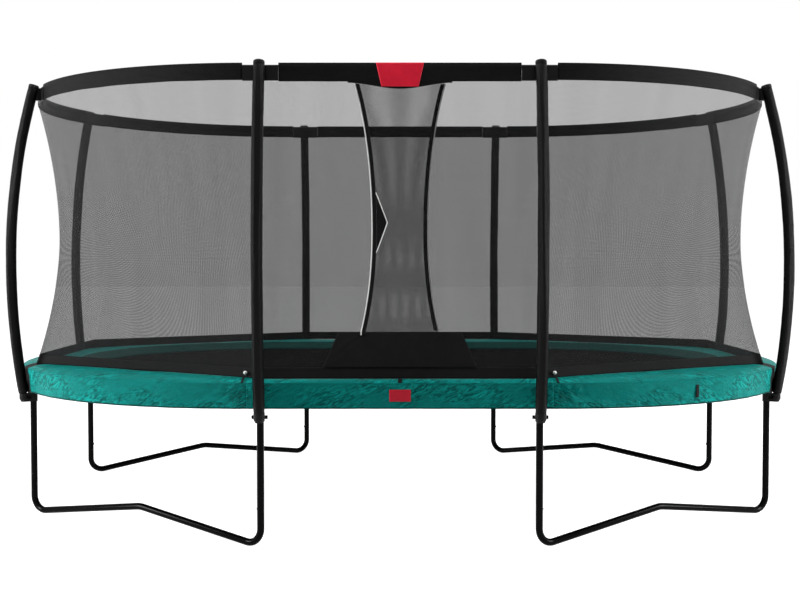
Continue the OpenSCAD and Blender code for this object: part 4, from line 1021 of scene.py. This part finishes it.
# ---- Springs ----
# 96 wound tension springs of galvanised wire. Each hooks into the rail and
# round the tip of a V-ring on the mat, and stretches between them.
wire_steel, tree, shader, where = finish_of(
    "spring_wire", (0.55, 0.56, 0.57), (0.70, 0.71, 0.72), 0.24, 0.36, 25.0)
shader.inputs["Metallic"].default_value = 1.0
raise_by(tree, shader, clouds(tree, where, 700.0, 2.0), 0.08, 0.0002)
dress(["mat_rings"], wire_steel)

RING_PLANE, WIRE_R, COIL_R, TURNS, STEPS = 0.9095, 0.0019, 0.0110, 43, 8
COIL_FROM, COIL_TO = 1.4617, 1.6337
shape = bmesh.new()
bmesh.ops.create_circle(shape, segments=4, radius=WIRE_R, cap_ends=False,
                        matrix=Matrix.Translation((COIL_FROM, 0.0, COIL_R))
                        @ turn_by(90.0, "Y") @ turn_by(90.0, "X"))
bmesh.ops.spin(shape, geom=shape.verts[:] + shape.edges[:], cent=(0.0, 0.0, 0.0), axis=(1.0, 0.0, 0.0),
               dvec=((COIL_TO - COIL_FROM) / (TURNS * STEPS), 0.0, 0.0), angle=2.0 * pi * TURNS,
               steps=TURNS * STEPS, use_merge=False, use_duplicate=False)
for tip, coil in ((1.4290, COIL_FROM), (1.6600, COIL_TO)):
    shank = bmesh.ops.create_circle(shape, segments=6, radius=WIRE_R, cap_ends=True,
                                    matrix=Matrix.Translation((coil, 0.0, 0.0)) @ turn_by(90.0, "Y"))
    moved = bmesh.ops.extrude_face_region(shape, geom=list(shank["verts"][0].link_faces))
    new_verts = [g for g in moved["geom"] if isinstance(g, bmesh.types.BMVert)]
    bmesh.ops.translate(shape, verts=new_verts, vec=(tip - coil, 0.0, 0.0))
bmesh.ops.recalc_face_normals(shape, faces=shape.faces)
# A spin leaves its faces in an order that changes from run to run, so they are sorted.
shape.faces.sort(key=lambda face: face.calc_center_median().dot((1000.0, 10.0, 1.0)))
spring_mesh = mesh_of(shape, "spring")


def spread_over(start, stop, count):
    return [start + (stop - start) * i / (count - 1) for i in range(count)]


def spring_group(name, places):
    """Springs side by side in one mesh, along their common direction."""
    shape = bmesh.new()
    for turn in places:
        before = len(shape.verts)
        shape.from_mesh(spring_mesh)
        shape.verts.ensure_lookup_table()
        bmesh.ops.transform(shape, matrix=turn, verts=shape.verts[before:])
    bmesh.ops.recalc_face_normals(shape, faces=shape.faces)
    mesh = mesh_of(shape, name)
    mesh.shade_smooth()
    group = add_piece(name, mesh, [wire_steel], ["springs"], body=None)
    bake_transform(group)


def spring_place(centre, angle):
    return Matrix.Translation((centre, 0.0, RING_PLANE)) @ turn_by(angle, "Z")


def spring_row(name, centre, angles, cuts):
    """The springs of a bend, in groups of a few."""
    for part, (start, stop) in enumerate(zip(cuts, cuts[1:])):
        spring_group(f"{name}_{part + 1}", [spring_place(centre, a) for a in angles[start:stop]])


for depth, word in ((-90.0, "front"), (90.0, "back")):
    spring_group(f"springs_{word}", [spring_place((i - 5.5) * 0.124, depth) for i in range(12)])
tee_clear = (0.070 + 0.026) / 1.680 * 180.0 / pi
corner_angles = spread_over(25.0 + tee_clear, 88.5, 13)
end_angles = spread_over(-25.0 + tee_clear, 25.0 - tee_clear, 10)
for side, word, centre in ((0.0, "right", BEND_X), (180.0, "left", -BEND_X)):
    for depth, end in ((1.0, "back"), (-1.0, "front")):
        angles = [depth * a if side == 0.0 else 180.0 - depth * a for a in corner_angles]
        spring_row(f"springs_{end}_{word}", centre, angles, (0, 3, 6, 9, 11, 13))
    spring_row(f"springs_{word}", centre, [side + a for a in end_angles], (0, 3, 7, 10))

# ---- Jumping mat ----
# Woven black polypropylene, stretched by the springs, with an edge that is
# folded under and stitched, in which the V-rings sit.
mat_cloth = woven(finish_of(
    "mat_weave", (0.004, 0.004, 0.004), (0.007, 0.007, 0.007), 0.72, 0.84, 3.0, "UV", 0.0),
    0.0016, 0.5, 0.0006)
MAT_R, MAT_TOP = 1.405, 0.911


def round_the_mat(r, s):
    """A point on the mat's outline, moved out or in to radius r, by the share s of the way round."""
    straight, bend = 2.0 * BEND_X, pi * MAT_R
    run = (s % 1.0) * 2.0 * (straight + bend)
    side = 1.0
    if run >= straight + bend:
        run, side = run - straight - bend, -1.0
    if run < straight:
        return side * (BEND_X - run), side * r
    a = pi / 2.0 + (run - straight) / MAT_R
    return side * (-BEND_X + r * cos(a)), side * r * sin(a)


shape = bmesh.new()
bmesh.ops.create_circle(shape, cap_ends=True, segments=160, radius=MAT_R - 0.0006)
for vert in shape.verts:
    vert.co.x += BEND_X if vert.co.x > 1e-4 else -BEND_X if vert.co.x < -1e-4 else 0.0
    vert.co.z = MAT_TOP
uv = shape.loops.layers.uv.new("UVMap")
for face in shape.faces:
    for loop in face.loops:
        loop[uv].uv = (loop.vert.co.x + 3.0, loop.vert.co.y + 3.0)
bmesh.ops.triangulate(shape, faces=shape.faces)
bmesh.ops.recalc_face_normals(shape, faces=shape.faces)
mesh = mesh_of(shape, "mat_cloth")
if mesh.polygons[0].normal.z < 0.0:
    mesh.flip_normals()
mat = thicken(add_piece("mat_cloth", mesh, [mat_cloth], ["mat"], body="mat"), 0.003, -1.0)

HEM = [(0.0, 0.0006), (0.0, 0.0032), (0.0016, 0.0040), (0.006, 0.0034), (0.010, 0.0040), (0.030, 0.0037),
       (0.050, 0.0040), (0.054, 0.0034), (0.0584, 0.0038), (0.060, 0.0028), (0.060, 0.0006), (0.030, 0.0002)]


def mat_hem_point(u, v):
    inwards, rise = HEM[round(u * len(HEM)) % len(HEM)]
    x, y = round_the_mat(MAT_R - inwards, v)
    return Vector((x, y, MAT_TOP - 0.003 - rise))


sewn("mat_hem_band", len(HEM), 420, mat_hem_point, (0.13, 12.3), [webbing], "mat_black",
               ["mat_hem"], "mat", closed=True)
